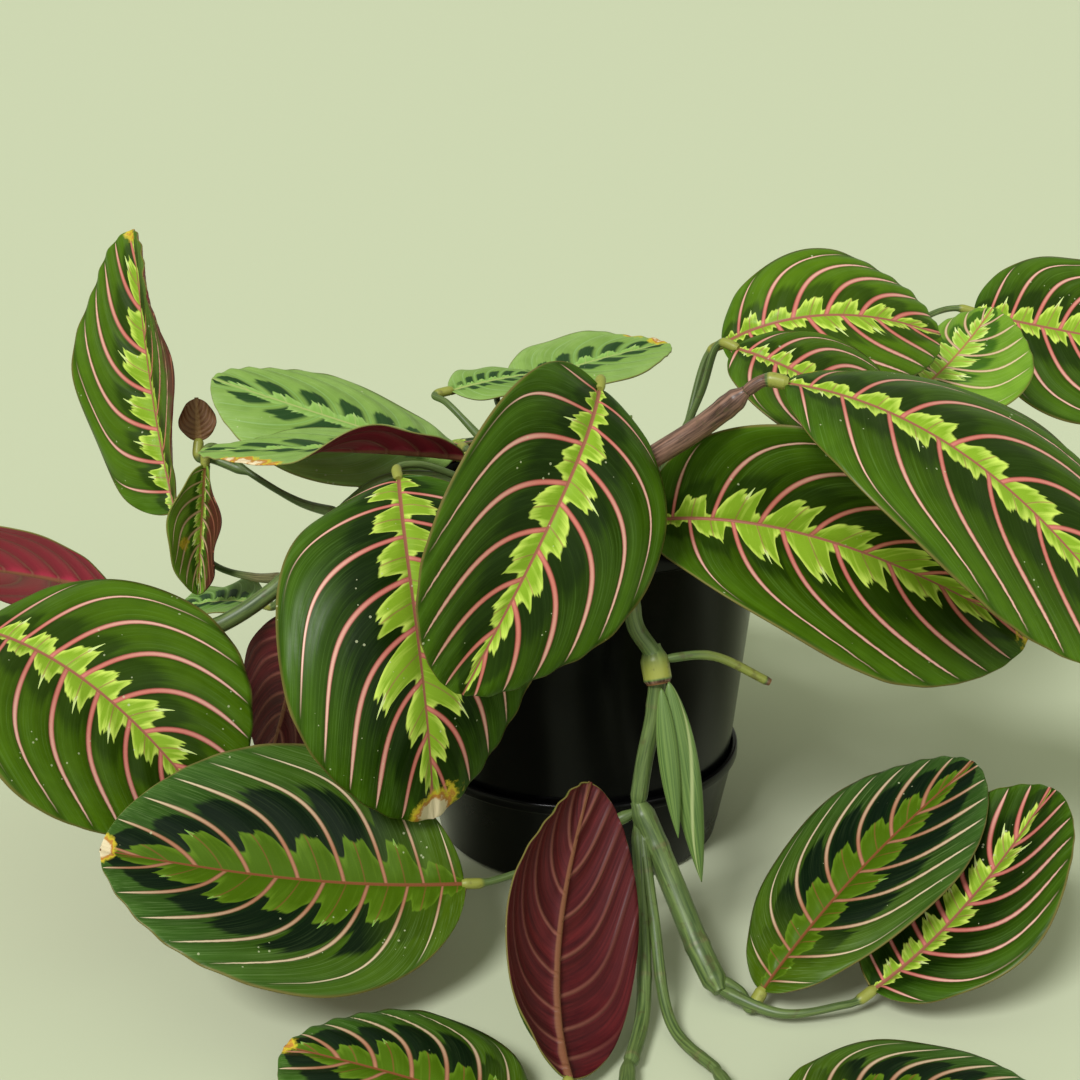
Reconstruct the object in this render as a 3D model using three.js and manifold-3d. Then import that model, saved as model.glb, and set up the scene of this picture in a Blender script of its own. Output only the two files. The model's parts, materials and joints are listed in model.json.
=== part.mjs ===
// A potted prayer plant (Maranta leuconeura): a black nursery pot clipped into a deep
// drip saucer, filled with soil, and five shoots whose leaves arch and trail over the rim.
// Millimetres, +Z up. The origin is the middle of the saucer's underside, so the whole
// plant stands on z = 0, and the longest trailing stems lie along that surface.

import * as THREE from 'three';
import { mergeVertices } from 'three/addons/utils/BufferGeometryUtils.js';
import Module from 'manifold-3d';

const wasm = await Module();
wasm.setup();

// ---------------------------------------------------------------- driving dimensions

const POT_HEIGHT = 120;        // saucer's underside to the top of the rim
const RIM_RADIUS = 64;         // outside of the rolled rim
const RIM_DEPTH = 6.5;         // height of that rim
const WALL = 1.8;              // pot and saucer wall
const WAIST_HEIGHT = 33;       // where the pot comes out of the saucer
const WAIST_RADIUS = 53.4;     // outside of the pot there
const FOOT_RADIUS = 46.6;      // outside of the pot at its foot
const SAUCER_FOOT = 49;        // outside of the saucer at the bottom
const SAUCER_RADIUS = 55.9;    // outside of the saucer's lip
const SAUCER_FLOOR = 2;        // thickness under the pot
const LIP_DEPTH = 4;           // height of the saucer's thicker lip
const RIM_OVERHANG = 2.2;      // how far the rim stands out from the wall
const DRAIN_COUNT = 4;
const DRAIN_RADIUS = 4;
const DRAIN_CIRCLE = 28;       // radius on which the drain holes lie
const SOIL_HEIGHT = 108;       // soil surface at the wall
const CLEARANCE = 0.3;         // gap between pieces that rest on each other
const HOLE_CLEARANCE = 0.4;    // gap round a stem in the soil
const ROUND_SEGMENTS = 36;     // facets round the pot

const BLADE_THICKNESS = 0.7;
const BLADE_STATIONS = 7;      // facets along a leaf
const BLADE_STRIPS = 6;        // facets across a leaf
const BASE_HALF_WIDTH = 1.2;   // where the blade meets its petiole
const TIP_HALF_WIDTH = 0.7;
const FULLNESS = 0.92;         // below 1 moves the widest place towards the tip
const BLUNTNESS = 0.55;        // 1 is a pointed lens, 0 a rectangle
const BEND_EARLY = 1.6;        // above 1 bends the midrib sooner

const CANE_SIDES = 6;
const CANE_STEPS = 1.6;        // facets along a cane for each point of its route
const PETIOLE_SIDES = 5;
const PETIOLE_RADIUS = 1.4;
const PULVINUS_RADIUS = 1.9;   // the thickened joint below each blade
const PULVINUS_LENGTH = 6;
const PETIOLE_STEPS = 2;       // facets along a petiole for each point of its route
const HOLE_HEIGHT = 24;        // from below a cane's foot to above the soil

const BLACK_PLASTIC = { color: 0x14171a, roughness: 0.35, metalness: 0 };
const SOIL = { color: 0x2b2119, roughness: 1, metalness: 0 };
const RED_VEINED = { color: 0x3f6d2c, roughness: 0.45, metalness: 0 };
const CREAM_VEINED = { color: 0x2f5a2a, roughness: 0.45, metalness: 0 };
const PALE = { color: 0x7f9f72, roughness: 0.55, metalness: 0 };
const YOUNG = { color: 0x9fc45a, roughness: 0.5, metalness: 0 };
const PURPLE_BACK = { color: 0x7a3143, roughness: 0.5, metalness: 0 };
const DRY = { color: 0x6b4a2c, roughness: 0.8, metalness: 0 };
const STEM_GREEN = { color: 0x4a6638, roughness: 0.5, metalness: 0 };

// ---------------------------------------------------------------- leaves
//
// base     where the blade meets its petiole
// heading  direction of the midrib at the base, degrees from +X towards +Y
// rise     how far the midrib points up at the base
// roll     turn about the midrib, positive lifts the blade's left margin
// droop    how far the midrib has bent down at the tip
// sweep    how far it has bent to the left at the tip
// twist    how far the blade has turned about it at the tip
// fold     angle of the left and right halves at the midrib, positive makes a V
// curl     how far each half has bent up by its margin, negative rolls it down

const LEAVES = {
  leaf_front_centre: {
    base: [4, -62, 172], heading: -95, rise: -15, roll: -25, length: 107, width: 71,
    droop: 81, sweep: -9, twist: -8, fold: [8, 18], curl: [-40, 15], colour: RED_VEINED,
  },
  leaf_front_left: {
    base: [-56, -56, 143], heading: -84, rise: -16, roll: 0, length: 113, width: 84,
    droop: 84, sweep: 14, twist: -23, fold: [7, 6], curl: [-12, -42], colour: RED_VEINED,
  },
  leaf_right_wide: {
    base: [21, -48, 127], heading: -25, rise: 14, roll: 55, length: 129, width: 80,
    droop: 55, sweep: -25, twist: 26, fold: [34, 33], curl: [16, 13], colour: RED_VEINED,
  },
  leaf_right_over: {
    base: [57, -72, 176], heading: -15, rise: -4, roll: 17, length: 134, width: 80,
    droop: 43, sweep: -24, twist: 14, fold: [7, 10], curl: [-46, -20], colour: RED_VEINED,
  },
  leaf_right_high: {
    base: [47, 6, 171], heading: -31, rise: 35, roll: 56, length: 81, width: 57,
    droop: 79, sweep: -4, twist: 2, fold: [8, 11], curl: [-29, -21], colour: RED_VEINED,
  },
  leaf_right_inner: {
    base: [48, -24, 176], heading: -36, rise: -7, roll: 33, length: 68, width: 56,
    droop: 51, sweep: 12, twist: 3, fold: [2, 18], curl: [-41, -8], colour: RED_VEINED,
  },
  leaf_right_young: {
    base: [113, 22, 149], heading: 31, rise: 23, roll: 18, length: 53, width: 55,
    droop: -5, sweep: 17, twist: -4, fold: [4, 3], curl: [-38, -32], colour: YOUNG,
  },
  leaf_right_far: {
    base: [149, 84, 167], heading: -5, rise: -12, roll: 45, length: 85, width: 74,
    droop: 3, sweep: 6, twist: 4, fold: [8, 9], curl: [-28, -24], colour: RED_VEINED,
  },
  leaf_top_pale: {
    base: [-23, 36, 149], heading: 25, rise: 16, roll: 11, length: 64, width: 49,
    droop: 12, sweep: 2, twist: -5, fold: [10, 10], curl: [-13, -13], colour: PALE,
  },
  leaf_top_small: {
    base: [-44, 20, 152], heading: 27, rise: 10, roll: 12, length: 34, width: 27,
    droop: 13, sweep: 6, twist: 0, fold: [9, 9], curl: [-27, -25], colour: YOUNG,
  },
  leaf_middle_pale: {
    base: [-43, 26, 127], heading: 168, rise: 14, roll: -12, length: 90, width: 59,
    droop: -5, sweep: 6, twist: -15, fold: [0, 4], curl: [-20, -33], colour: PALE,
  },
  leaf_middle_flat: {
    base: [-38, -10, 137], heading: 177, rise: 6, roll: 7, length: 89, width: 50,
    droop: 10, sweep: -4, twist: -6, fold: [5, 6], curl: [-9, -7], colour: PALE,
  },
  leaf_left_upright: {
    base: [-142, 25, 107], heading: 119, rise: 55, roll: -39, length: 102, width: 64,
    droop: -15, sweep: -16, twist: 0, fold: [-2, 47], curl: [-20, 0], colour: RED_VEINED,
  },
  leaf_left_folded: {
    base: [-129, 18, 126], heading: 244, rise: -77, roll: -17, length: 45, width: 33,
    droop: 0, sweep: 2, twist: -13, fold: [49, 51], curl: [16, 18], colour: YOUNG,
  },
  leaf_left_dried: {
    base: [-132, 24, 133], heading: 100, rise: 66, roll: 0, length: 15, width: 13,
    droop: 0, sweep: 0, twist: 0, fold: [12, 12], curl: [-19, -19], colour: DRY,
  },
  leaf_left_turned: {
    base: [-158, -4, 87], heading: 156, rise: 7, roll: 58, length: 78, width: 59,
    droop: 16, sweep: 4, twist: -7, fold: [11, 12], curl: [-23, -20], colour: PURPLE_BACK,
  },
  leaf_left_big: {
    base: [-186, -62, 97], heading: -20, rise: -4, roll: 10, length: 97, width: 84,
    droop: 54, sweep: 0, twist: 35, fold: [9, 15], curl: [-16, -10], colour: RED_VEINED,
  },
  leaf_left_small: {
    base: [-111, 8, 79], heading: 154, rise: 0, roll: -6, length: 44, width: 34,
    droop: 24, sweep: 0, twist: -4, fold: [12, 11], curl: [-19, -22], colour: PALE,
  },
  leaf_left_shaded: {
    base: [-94, -12, 83], heading: 230, rise: -83, roll: 176, length: 55, width: 45,
    droop: 10, sweep: 10, twist: 0, fold: [11, 12], curl: [-22, -20], colour: PURPLE_BACK,
  },
  leaf_low_left: {
    base: [-36, -98, 29], heading: 191, rise: 3, roll: -42, length: 107, width: 80,
    droop: -13, sweep: -9, twist: 8, fold: [19, 19], curl: [-10, -5], colour: CREAM_VEINED,
  },
  leaf_low_right: {
    base: [51, -121, 7], heading: 39, rise: 39, roll: -14, length: 101, width: 54,
    droop: 18, sweep: 2, twist: 22, fold: [16, 10], curl: [-29, -25], colour: CREAM_VEINED,
  },
  leaf_low_far_right: {
    base: [83, -122, 8], heading: 26, rise: 22, roll: 8, length: 84, width: 57,
    droop: -16, sweep: 13, twist: -15, fold: [17, 11], curl: [5, -17], colour: RED_VEINED,
  },
  leaf_low_turned: {
    base: [-6, -163, 7], heading: 105, rise: 22, roll: 208, length: 85, width: 53,
    droop: 50, sweep: 2, twist: 1, fold: [8, 3], curl: [-31, -50], colour: PURPLE_BACK,
  },
  leaf_low_front: {
    base: [-15, -180, 7], heading: 166, rise: 15, roll: 2, length: 72, width: 58,
    droop: 17, sweep: -10, twist: -16, fold: [12, 8], curl: [-20, -29], colour: CREAM_VEINED,
  },
  leaf_low_side: {
    base: [50, -172, 5], heading: -3, rise: 9, roll: 4, length: 70, width: 46,
    droop: 14, sweep: 6, twist: 0, fold: [10, 10], curl: [-14, -14], colour: CREAM_VEINED,
  },
  leaf_back_centre: {
    base: [-5, 57, 129], heading: 92, rise: 2, roll: 0, length: 98, width: 58,
    droop: 66, sweep: 6, twist: 0, fold: [12, 12], curl: [-24, -24], colour: RED_VEINED,
  },
  leaf_back_right: {
    base: [54, 47, 124], heading: 44, rise: -2, roll: -4, length: 90, width: 58,
    droop: 62, sweep: 4, twist: 0, fold: [10, 12], curl: [-22, -26], colour: RED_VEINED,
  },
  leaf_back_left: {
    base: [-42, 48, 125], heading: 112, rise: -2, roll: 2, length: 86, width: 52,
    droop: 65, sweep: 4, twist: 0, fold: [12, 10], curl: [-24, -20], colour: RED_VEINED,
  },
  leaf_back_side: {
    base: [68, 12, 126], heading: 8, rise: 0, roll: 4, length: 88, width: 54,
    droop: 62, sweep: 8, twist: 0, fold: [12, 12], curl: [-22, -22], colour: RED_VEINED,
  },
  leaf_back_high: {
    base: [106, 56, 152], heading: 84, rise: -6, roll: 0, length: 78, width: 50,
    droop: 34, sweep: 4, twist: 0, fold: [12, 12], curl: [-22, -22], colour: RED_VEINED,
  },
  leaf_right_hanging: {
    base: [64, -18, 125], heading: -6, rise: 0, roll: 0, length: 62, width: 38,
    droop: 66, sweep: 0, twist: 0, fold: [10, 10], curl: [-20, -20], colour: PALE,
  },
  leaf_crown: {
    base: [3, -4, 142], heading: 92, rise: 2, roll: 0, length: 50, width: 33,
    droop: 22, sweep: 4, twist: 0, fold: [14, 14], curl: [-10, -10], colour: YOUNG,
  },
  leaf_back_trailing: {
    base: [-46, 90, 52], heading: 148, rise: -8, roll: -6, length: 82, width: 56,
    droop: 34, sweep: 6, twist: 0, fold: [10, 12], curl: [-20, -24], colour: CREAM_VEINED,
  },
  leaf_back_low: {
    base: [-12, 124, 8], heading: 76, rise: 14, roll: 3, length: 86, width: 56,
    droop: 16, sweep: 4, twist: 0, fold: [10, 10], curl: [-16, -16], colour: CREAM_VEINED,
  },
};

// ---------------------------------------------------------------- stems
//
// Each shoot is one body: its cane, thick enough to carry the rest, and the petioles
// that branch from it. A petiole's route ends at its leaf, which gives its last points.

const SHOOTS = {
  stem_centre: {
    canes: [{ radius: 3.6, route: [[-8, -12, 96], [-8, -12, 113], [-8, -14, 123]] }],
    petioles: {
      leaf_front_centre: [[-8, -14, 119], [0, -28, 146]],
      leaf_front_left: [[-8, -13, 117], [-30, -34, 133], [-50, -45, 144]],
      leaf_top_pale: [[-9, -12, 118], [-19, 8, 136]],
      leaf_middle_pale: [[-9, -11, 114], [-22, 14, 117]],
      leaf_middle_flat: [[-9, -13, 116], [-22, -12, 131]],
      leaf_top_small: [[-22, -12, 131], [-35, 2, 142], [-45, 11, 150]],
      leaf_crown: [[-8, -14, 118], [-3, -15, 134]],
    },
  },
  stem_right: {
    canes: [
      {
        radius: 3.4,
        route: [[24, -8, 96], [24, -8, 105], [24, -8, 114], [24, -20, 130], [19, -52, 145]],
      },
      { radius: 3.6, route: [[19, -46, 143], [19, -61, 150], [33, -66, 161], [46, -70, 173]] },
      { radius: 2.2, route: [[24, -9, 114], [44, 4, 127], [66, 14, 137], [98, 50, 152]] },
    ],
    petioles: {
      leaf_right_over: [[44, -69, 171]],
      leaf_right_wide: [[25, -10, 113], [18, -32, 119]],
      leaf_right_high: [[24, -14, 122], [34, 0, 140]],
      leaf_right_inner: [[24, -18, 127], [38, -18, 160]],
      leaf_right_young: [[62, 12, 135], [95, 16, 143]],
      leaf_right_far: [[92, 44, 149], [134, 82, 167]],
      leaf_back_high: [[94, 44, 149], [103, 48, 153]],
      leaf_right_hanging: [[25, -9, 115], [44, -14, 123]],
    },
  },
  stem_left: {
    canes: [{
      radius: 3.1,
      route: [[-26, 2, 96], [-26, 2, 105], [-26, 2, 114], [-42, -2, 125], [-66, -5, 126],
        [-103, -8, 90], [-124, -14, 78], [-150, -17, 72]],
    }],
    petioles: {
      leaf_left_upright: [[-99, -8, 94], [-112, 4, 90], [-128, 15, 91]],
      leaf_left_folded: [[-80, -6, 116], [-96, 8, 116], [-114, 19, 123], [-126, 21, 132]],
      leaf_left_dried: [[-114, 19, 123], [-128, 23, 127]],
      leaf_left_turned: [[-128, -15, 77], [-146, -9, 84]],
      leaf_left_small: [[-98, -7, 95], [-102, 2, 84]],
      leaf_left_shaded: [[-90, -7, 103], [-93, -11, 94]],
      leaf_left_big: [[-144, -16, 74], [-176, -24, 76], [-200, -42, 88]],
    },
  },
  stem_front: {
    canes: [
      {
        radius: 2.8,
        route: [[3, -32, 96], [3, -32, 105], [3, -33, 114], [5, -46, 123], [9, -61, 128],
          [13, -72, 117], [15, -76, 103], [21, -78, 93], [21, -80, 78], [18, -83, 62],
          [16, -86, 48]],
      },
      { radius: 4.6, route: [[20, -76, 97], [22, -80, 86]] },
      { radius: 1.5, route: [[22, -78, 93], [38, -75, 93], [56, -74, 84]] },
      { radius: 4, route: [[16, -85, 50], [26, -97, 29], [34, -110, 13], [39, -120, 6]] },
      { radius: 1.8, route: [[17, -88, 44], [20, -107, 24], [24, -133, 4], [36, -156, 3.5]] },
      { radius: 2.3, route: [[16, -88, 44], [17, -106, 23], [16, -130, 6], [11, -153, 3.5]] },
    ],
    petioles: {
      leaf_low_left: [[16, -86, 47], [3, -88, 41], [-14, -92, 32]],
      leaf_low_right: [[37, -116, 9], [45, -119, 5]],
      leaf_low_far_right: [[38, -118, 6], [56, -128, 4], [73, -127, 6]],
      leaf_low_side: [[34, -153, 3.5], [40, -167, 3.5]],
      leaf_low_turned: [[11, -150, 4], [7, -167, 2.8], [-1, -172, 3]],
      leaf_low_front: [[11, -150, 4], [9, -172, 2.8], [0, -183, 4]],
    },
  },
  stem_back: {
    canes: [
      { radius: 3.4, route: [[4, 20, 96], [4, 20, 105], [4, 20, 114], [4, 28, 123]] },
      {
        radius: 2.6,
        route: [[4, 26, 118], [-12, 42, 125], [-24, 61, 126], [-30, 75, 96], [-33, 84, 58],
          [-30, 96, 24], [-22, 110, 6]],
      },
    ],
    petioles: {
      leaf_back_centre: [[4, 26, 119], [-1, 42, 127]],
      leaf_back_right: [[5, 25, 117], [30, 33, 122]],
      leaf_back_left: [[3, 25, 116], [-22, 30, 119], [-36, 35, 124.5]],
      leaf_back_side: [[5, 23, 116], [38, 14, 123]],
      leaf_back_trailing: [[-34, 84, 62], [-38, 85, 55]],
      leaf_back_low: [[-21, 108, 8], [-16, 116, 5.5]],
    },
  },
};

// The new leaf is still rolled into a spear that hangs from the front shoot.
const SPEAR = { top: [24.7, -83.7, 88.2], tip: [35, -97, 29], radius: 5.6, flatness: 0.55 };

// ---------------------------------------------------------------- solids

function vector([x, y, z]) {
  return new THREE.Vector3(x, y, z);
}

// A closed triangle mesh with shared vertices, facing out, as a solid.
function solidFrom(geometry) {
  const bare = geometry.clone();
  bare.deleteAttribute('normal');
  bare.deleteAttribute('uv');
  const merged = mergeVertices(bare, 1e-4);
  const place = merged.getAttribute('position');
  const triangles = [];
  let volume = 0;
  const corner = [new THREE.Vector3(), new THREE.Vector3(), new THREE.Vector3()];
  for (let i = 0; i < merged.index.count; i += 3) {
    const [a, b, c] = [0, 1, 2].map((k) => merged.index.getX(i + k));
    if (a === b || b === c || c === a) continue;
    triangles.push([a, b, c]);
    [a, b, c].forEach((index, k) => corner[k].fromBufferAttribute(place, index));
    volume += corner[0].dot(corner[1].clone().cross(corner[2]));
  }
  const facing = volume < 0 ? triangles.map(([a, b, c]) => [a, c, b]) : triangles;
  return new wasm.Manifold(new wasm.Mesh({
    numProp: 3,
    vertProperties: new Float32Array(place.array),
    triVerts: new Uint32Array(facing.flat()),
  }));
}

function geometryFrom(solid) {
  const mesh = solid.getMesh();
  const geometry = new THREE.BufferGeometry();
  geometry.setAttribute('position', new THREE.BufferAttribute(mesh.vertProperties, 3));
  geometry.setIndex(new THREE.BufferAttribute(mesh.triVerts, 1));
  geometry.computeVertexNormals();
  return geometry;
}

// A profile of [radius, height] pairs turned about the Z axis.
function turned(profile, segments = ROUND_SEGMENTS) {
  const points = profile.map(([radius, height]) => new THREE.Vector2(radius, height));
  const geometry = new THREE.LatheGeometry(points, segments);
  geometry.rotateX(Math.PI / 2);
  return solidFrom(geometry);
}

function cylinder(radius, height, x, y, z) {
  const geometry = new THREE.CylinderGeometry(radius, radius, height, 16);
  geometry.rotateX(Math.PI / 2);
  geometry.translate(x, y, z + height / 2);
  return solidFrom(geometry);
}

function tube(route, radius, sides, steps) {
  const section = new THREE.Shape();
  for (let side = 0; side < sides; side += 1) {
    const angle = (2 * Math.PI * side) / sides;
    const corner = [radius * Math.cos(angle), radius * Math.sin(angle)];
    if (side === 0) section.moveTo(...corner);
    else section.lineTo(...corner);
  }
  section.closePath();
  const path = new THREE.CatmullRomCurve3(route.map(vector), false, 'centripetal');
  const geometry = new THREE.ExtrudeGeometry(section, {
    steps,
    bevelEnabled: false,
    extrudePath: path,
  });
  return solidFrom(geometry);
}

function union(solids) {
  return solids.reduce((whole, piece) => whole.add(piece));
}

// ---------------------------------------------------------------- leaf blades

// The midrib's direction, the blade's left and its upward normal at the base.
function leafAxes(leaf) {
  const heading = THREE.MathUtils.degToRad(leaf.heading);
  const rise = THREE.MathUtils.degToRad(leaf.rise);
  const roll = THREE.MathUtils.degToRad(leaf.roll);
  const along = new THREE.Vector3(
    Math.cos(rise) * Math.cos(heading),
    Math.cos(rise) * Math.sin(heading),
    Math.sin(rise),
  );
  const left = new THREE.Vector3(-Math.sin(heading), Math.cos(heading), 0);
  left.applyAxisAngle(along, roll);
  const up = along.clone().cross(left);
  return { along, left, up, frame: new THREE.Matrix4().makeBasis(along, left, up) };
}

// How the leaf's frame has turned by the fraction t of its length.
function bendAt(leaf, t) {
  const share = 1 - (1 - t) ** BEND_EARLY;
  const turn = (degrees) => THREE.MathUtils.degToRad(degrees) * share;
  return new THREE.Matrix4()
    .makeRotationZ(turn(leaf.sweep))
    .multiply(new THREE.Matrix4().makeRotationY(turn(leaf.droop)))
    .multiply(new THREE.Matrix4().makeRotationX(turn(leaf.twist)));
}

function midribAt(leaf, t) {
  const pieces = 24;
  const point = new THREE.Vector3();
  for (let i = 0; i < pieces; i += 1) {
    const step = new THREE.Vector3((leaf.length * t) / pieces, 0, 0);
    point.add(step.applyMatrix4(bendAt(leaf, (t * (i + 0.5)) / pieces)));
  }
  return point;
}

function halfWidthAt(leaf, t) {
  const lens = Math.sin(Math.PI * t ** FULLNESS) ** BLUNTNESS;
  const edge = THREE.MathUtils.lerp(BASE_HALF_WIDTH, TIP_HALF_WIDTH, t);
  return Math.max(edge, (lens || 0) * leaf.width * 0.5);
}

// A point of the cross-section at v, from -1 at the right margin to 1 at the left,
// raised by lift above the middle of the blade.
function sectionPoint(leaf, halfWidth, v, lift) {
  const side = v < 0 ? 1 : 0;
  const fold = THREE.MathUtils.degToRad(leaf.fold[side]);
  const curl = THREE.MathUtils.degToRad(leaf.curl[side]) || 1e-4;
  const reach = Math.abs(v);
  const slope = fold + curl * reach;
  const out = (halfWidth * (Math.sin(slope) - Math.sin(fold))) / curl;
  const height = (halfWidth * (Math.cos(fold) - Math.cos(slope))) / curl;
  const lean = v === 0 ? 0 : slope;
  const sign = v < 0 ? -1 : 1;
  return new THREE.Vector3(
    0,
    sign * (out - lift * Math.sin(lean)),
    height + lift * Math.cos(lean),
  );
}

// Both faces have the same grid and the same diagonals, joined round the margin.
function bladeSolid(leaf) {
  const { frame } = leafAxes(leaf);
  const positions = [];
  const triangles = [];
  const columns = BLADE_STRIPS + 1;
  const layer = (BLADE_STATIONS + 1) * columns;
  for (const lift of [BLADE_THICKNESS / 2, -BLADE_THICKNESS / 2]) {
    for (let i = 0; i <= BLADE_STATIONS; i += 1) {
      const t = 0.5 - 0.5 * Math.cos((Math.PI * i) / BLADE_STATIONS);
      const bend = bendAt(leaf, t);
      const midrib = midribAt(leaf, t);
      for (let j = 0; j <= BLADE_STRIPS; j += 1) {
        const v = (2 * j) / BLADE_STRIPS - 1;
        const point = sectionPoint(leaf, halfWidthAt(leaf, t), v, lift);
        point.applyMatrix4(bend).add(midrib).applyMatrix4(frame).add(vector(leaf.base));
        positions.push(point.x, point.y, point.z);
      }
    }
  }
  const quad = (a, b, c, d) => triangles.push(a, b, c, a, c, d);
  for (let i = 0; i < BLADE_STATIONS; i += 1) {
    for (let j = 0; j < BLADE_STRIPS; j += 1) {
      const near = i * columns + j;
      const far = near + columns;
      quad(near, far, far + 1, near + 1);
      quad(layer + near, layer + near + 1, layer + far + 1, layer + far);
    }
  }
  const margin = [];
  for (let i = 0; i < BLADE_STATIONS; i += 1) margin.push(i * columns);
  for (let j = 0; j < BLADE_STRIPS; j += 1) margin.push(BLADE_STATIONS * columns + j);
  for (let i = BLADE_STATIONS; i > 0; i -= 1) margin.push(i * columns + BLADE_STRIPS);
  for (let j = BLADE_STRIPS; j > 0; j -= 1) margin.push(j);
  margin.forEach((a, k) => {
    const b = margin[(k + 1) % margin.length];
    quad(a, layer + a, layer + b, b);
  });
  const geometry = new THREE.BufferGeometry();
  geometry.setAttribute('position', new THREE.Float32BufferAttribute(positions, 3));
  geometry.setIndex(triangles);
  return solidFrom(geometry);
}

// A spindle from the top point to the tip, flattened across.
function spearSolid({ top, tip, radius, flatness }) {
  const axis = vector(tip).sub(vector(top));
  const length = axis.length();
  const profile = [];
  const stations = 10;
  for (let i = 0; i <= stations; i += 1) {
    const t = i / stations;
    const swell = Math.sin(Math.PI * t ** 0.8) ** 0.8 || 0;
    profile.push(new THREE.Vector2(i === 0 || i === stations ? 0 : radius * swell, length * t));
  }
  const geometry = new THREE.LatheGeometry(profile, 10);
  geometry.scale(1, 1, flatness);
  const turn = new THREE.Quaternion().setFromUnitVectors(
    new THREE.Vector3(0, 1, 0),
    axis.normalize(),
  );
  geometry.applyQuaternion(turn);
  geometry.translate(...top);
  return solidFrom(geometry);
}

// ---------------------------------------------------------------- stems

// A petiole: a thin stalk and the pulvinus, which ends just short of the blade and
// points along the midrib.
function petioleSolid(route, leaf) {
  const { along } = leafAxes(leaf);
  const base = vector(leaf.base);
  const joint = base.clone().addScaledVector(along, -PULVINUS_LENGTH).toArray();
  const end = base.clone().addScaledVector(along, -CLEARANCE).toArray();
  const whole = [...route, joint, end];
  const steps = 1 + PETIOLE_STEPS * route.length;
  const stalk = tube(whole, PETIOLE_RADIUS, PETIOLE_SIDES, steps);
  const pulvinus = tube([joint, end], PULVINUS_RADIUS, PETIOLE_SIDES, 1);
  return stalk.add(pulvinus);
}

function shootSolid(shoot) {
  const canes = shoot.canes.map(
    ({ radius, route }) => tube(route, radius, CANE_SIDES, Math.round(CANE_STEPS * route.length)),
  );
  const petioles = Object.entries(shoot.petioles).map(
    ([name, route]) => petioleSolid(route, LEAVES[name]),
  );
  return union([...canes, ...petioles]);
}

// ---------------------------------------------------------------- pot, saucer and soil

const potFoot = SAUCER_FLOOR + CLEARANCE;
const rimUnderside = POT_HEIGHT - RIM_DEPTH;
const wallRise = rimUnderside - WAIST_HEIGHT;
const wallSlope = (RIM_RADIUS - RIM_OVERHANG - WAIST_RADIUS) / wallRise;

function potRadius(height) {
  return WAIST_RADIUS + wallSlope * (height - WAIST_HEIGHT);
}

function potSolid() {
  const shell = turned([
    [0, potFoot],
    [FOOT_RADIUS - 1, potFoot],
    [FOOT_RADIUS, potFoot + 1],
    [WAIST_RADIUS, WAIST_HEIGHT],
    [potRadius(rimUnderside), rimUnderside],
    [RIM_RADIUS - 0.5, rimUnderside],
    [RIM_RADIUS, rimUnderside + 0.6],
    [RIM_RADIUS, POT_HEIGHT - 0.8],
    [RIM_RADIUS - 0.8, POT_HEIGHT],
    [RIM_RADIUS - WALL, POT_HEIGHT],
    [potRadius(rimUnderside) - WALL, rimUnderside - 1],
    [WAIST_RADIUS - WALL, WAIST_HEIGHT],
    [FOOT_RADIUS - WALL, potFoot + WALL],
    [0, potFoot + WALL],
  ]);
  const drains = [];
  for (let i = 0; i < DRAIN_COUNT; i += 1) {
    const angle = (Math.PI * (2 * i + 1)) / DRAIN_COUNT;
    const x = DRAIN_CIRCLE * Math.cos(angle);
    const y = DRAIN_CIRCLE * Math.sin(angle);
    drains.push(cylinder(DRAIN_RADIUS, 2 * WALL, x, y, potFoot - WALL / 2));
  }
  return shell.subtract(union(drains));
}

function saucerSolid() {
  return turned([
    [0, 0],
    [SAUCER_FOOT - 1.4, 0],
    [SAUCER_FOOT, 1.4],
    [SAUCER_RADIUS - 1.3, WAIST_HEIGHT - LIP_DEPTH],
    [SAUCER_RADIUS, WAIST_HEIGHT - LIP_DEPTH + 0.6],
    [SAUCER_RADIUS, WAIST_HEIGHT - 0.5],
    [SAUCER_RADIUS - 0.5, WAIST_HEIGHT],
    [SAUCER_RADIUS - WALL, WAIST_HEIGHT],
    [SAUCER_RADIUS - WALL - 1, WAIST_HEIGHT - LIP_DEPTH],
    [SAUCER_FOOT - WALL, SAUCER_FLOOR],
    [0, SAUCER_FLOOR],
  ]);
}

// Potting soil with a low crown, and a plain hole for each shoot.
function soilSolid() {
  const inset = WALL + CLEARANCE;
  const mound = turned([
    [0, potFoot + inset],
    [FOOT_RADIUS - inset, potFoot + inset],
    [WAIST_RADIUS - inset, WAIST_HEIGHT],
    [potRadius(SOIL_HEIGHT) - inset, SOIL_HEIGHT - 1.5],
    [52, SOIL_HEIGHT + 0.5],
    [30, SOIL_HEIGHT + 1.5],
    [0, SOIL_HEIGHT + 2],
  ]);
  const holes = Object.values(SHOOTS).map(({ canes: [cane] }) => {
    const [x, y, z] = cane.route[0];
    const floor = z - HOLE_CLEARANCE;
    return cylinder(cane.radius + 2 * HOLE_CLEARANCE, HOLE_HEIGHT, x, y, floor);
  });
  return mound.subtract(union(holes));
}

// ---------------------------------------------------------------- the plant

const plant = new THREE.Group();

function addPiece(name, solid, look) {
  const mesh = new THREE.Mesh(geometryFrom(solid), new THREE.MeshStandardMaterial(look));
  mesh.name = name;
  plant.add(mesh);
}

addPiece('drip_saucer', saucerSolid(), BLACK_PLASTIC);
addPiece('pot', potSolid(), BLACK_PLASTIC);
addPiece('soil', soilSolid(), SOIL);
Object.entries(SHOOTS).forEach(([name, shoot]) => addPiece(name, shootSolid(shoot), STEM_GREEN));
Object.entries(LEAVES).forEach(([name, leaf]) => addPiece(name, bladeSolid(leaf), leaf.colour));
addPiece('leaf_new_rolled', spearSolid(SPEAR), YOUNG);

export default plant;
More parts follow.
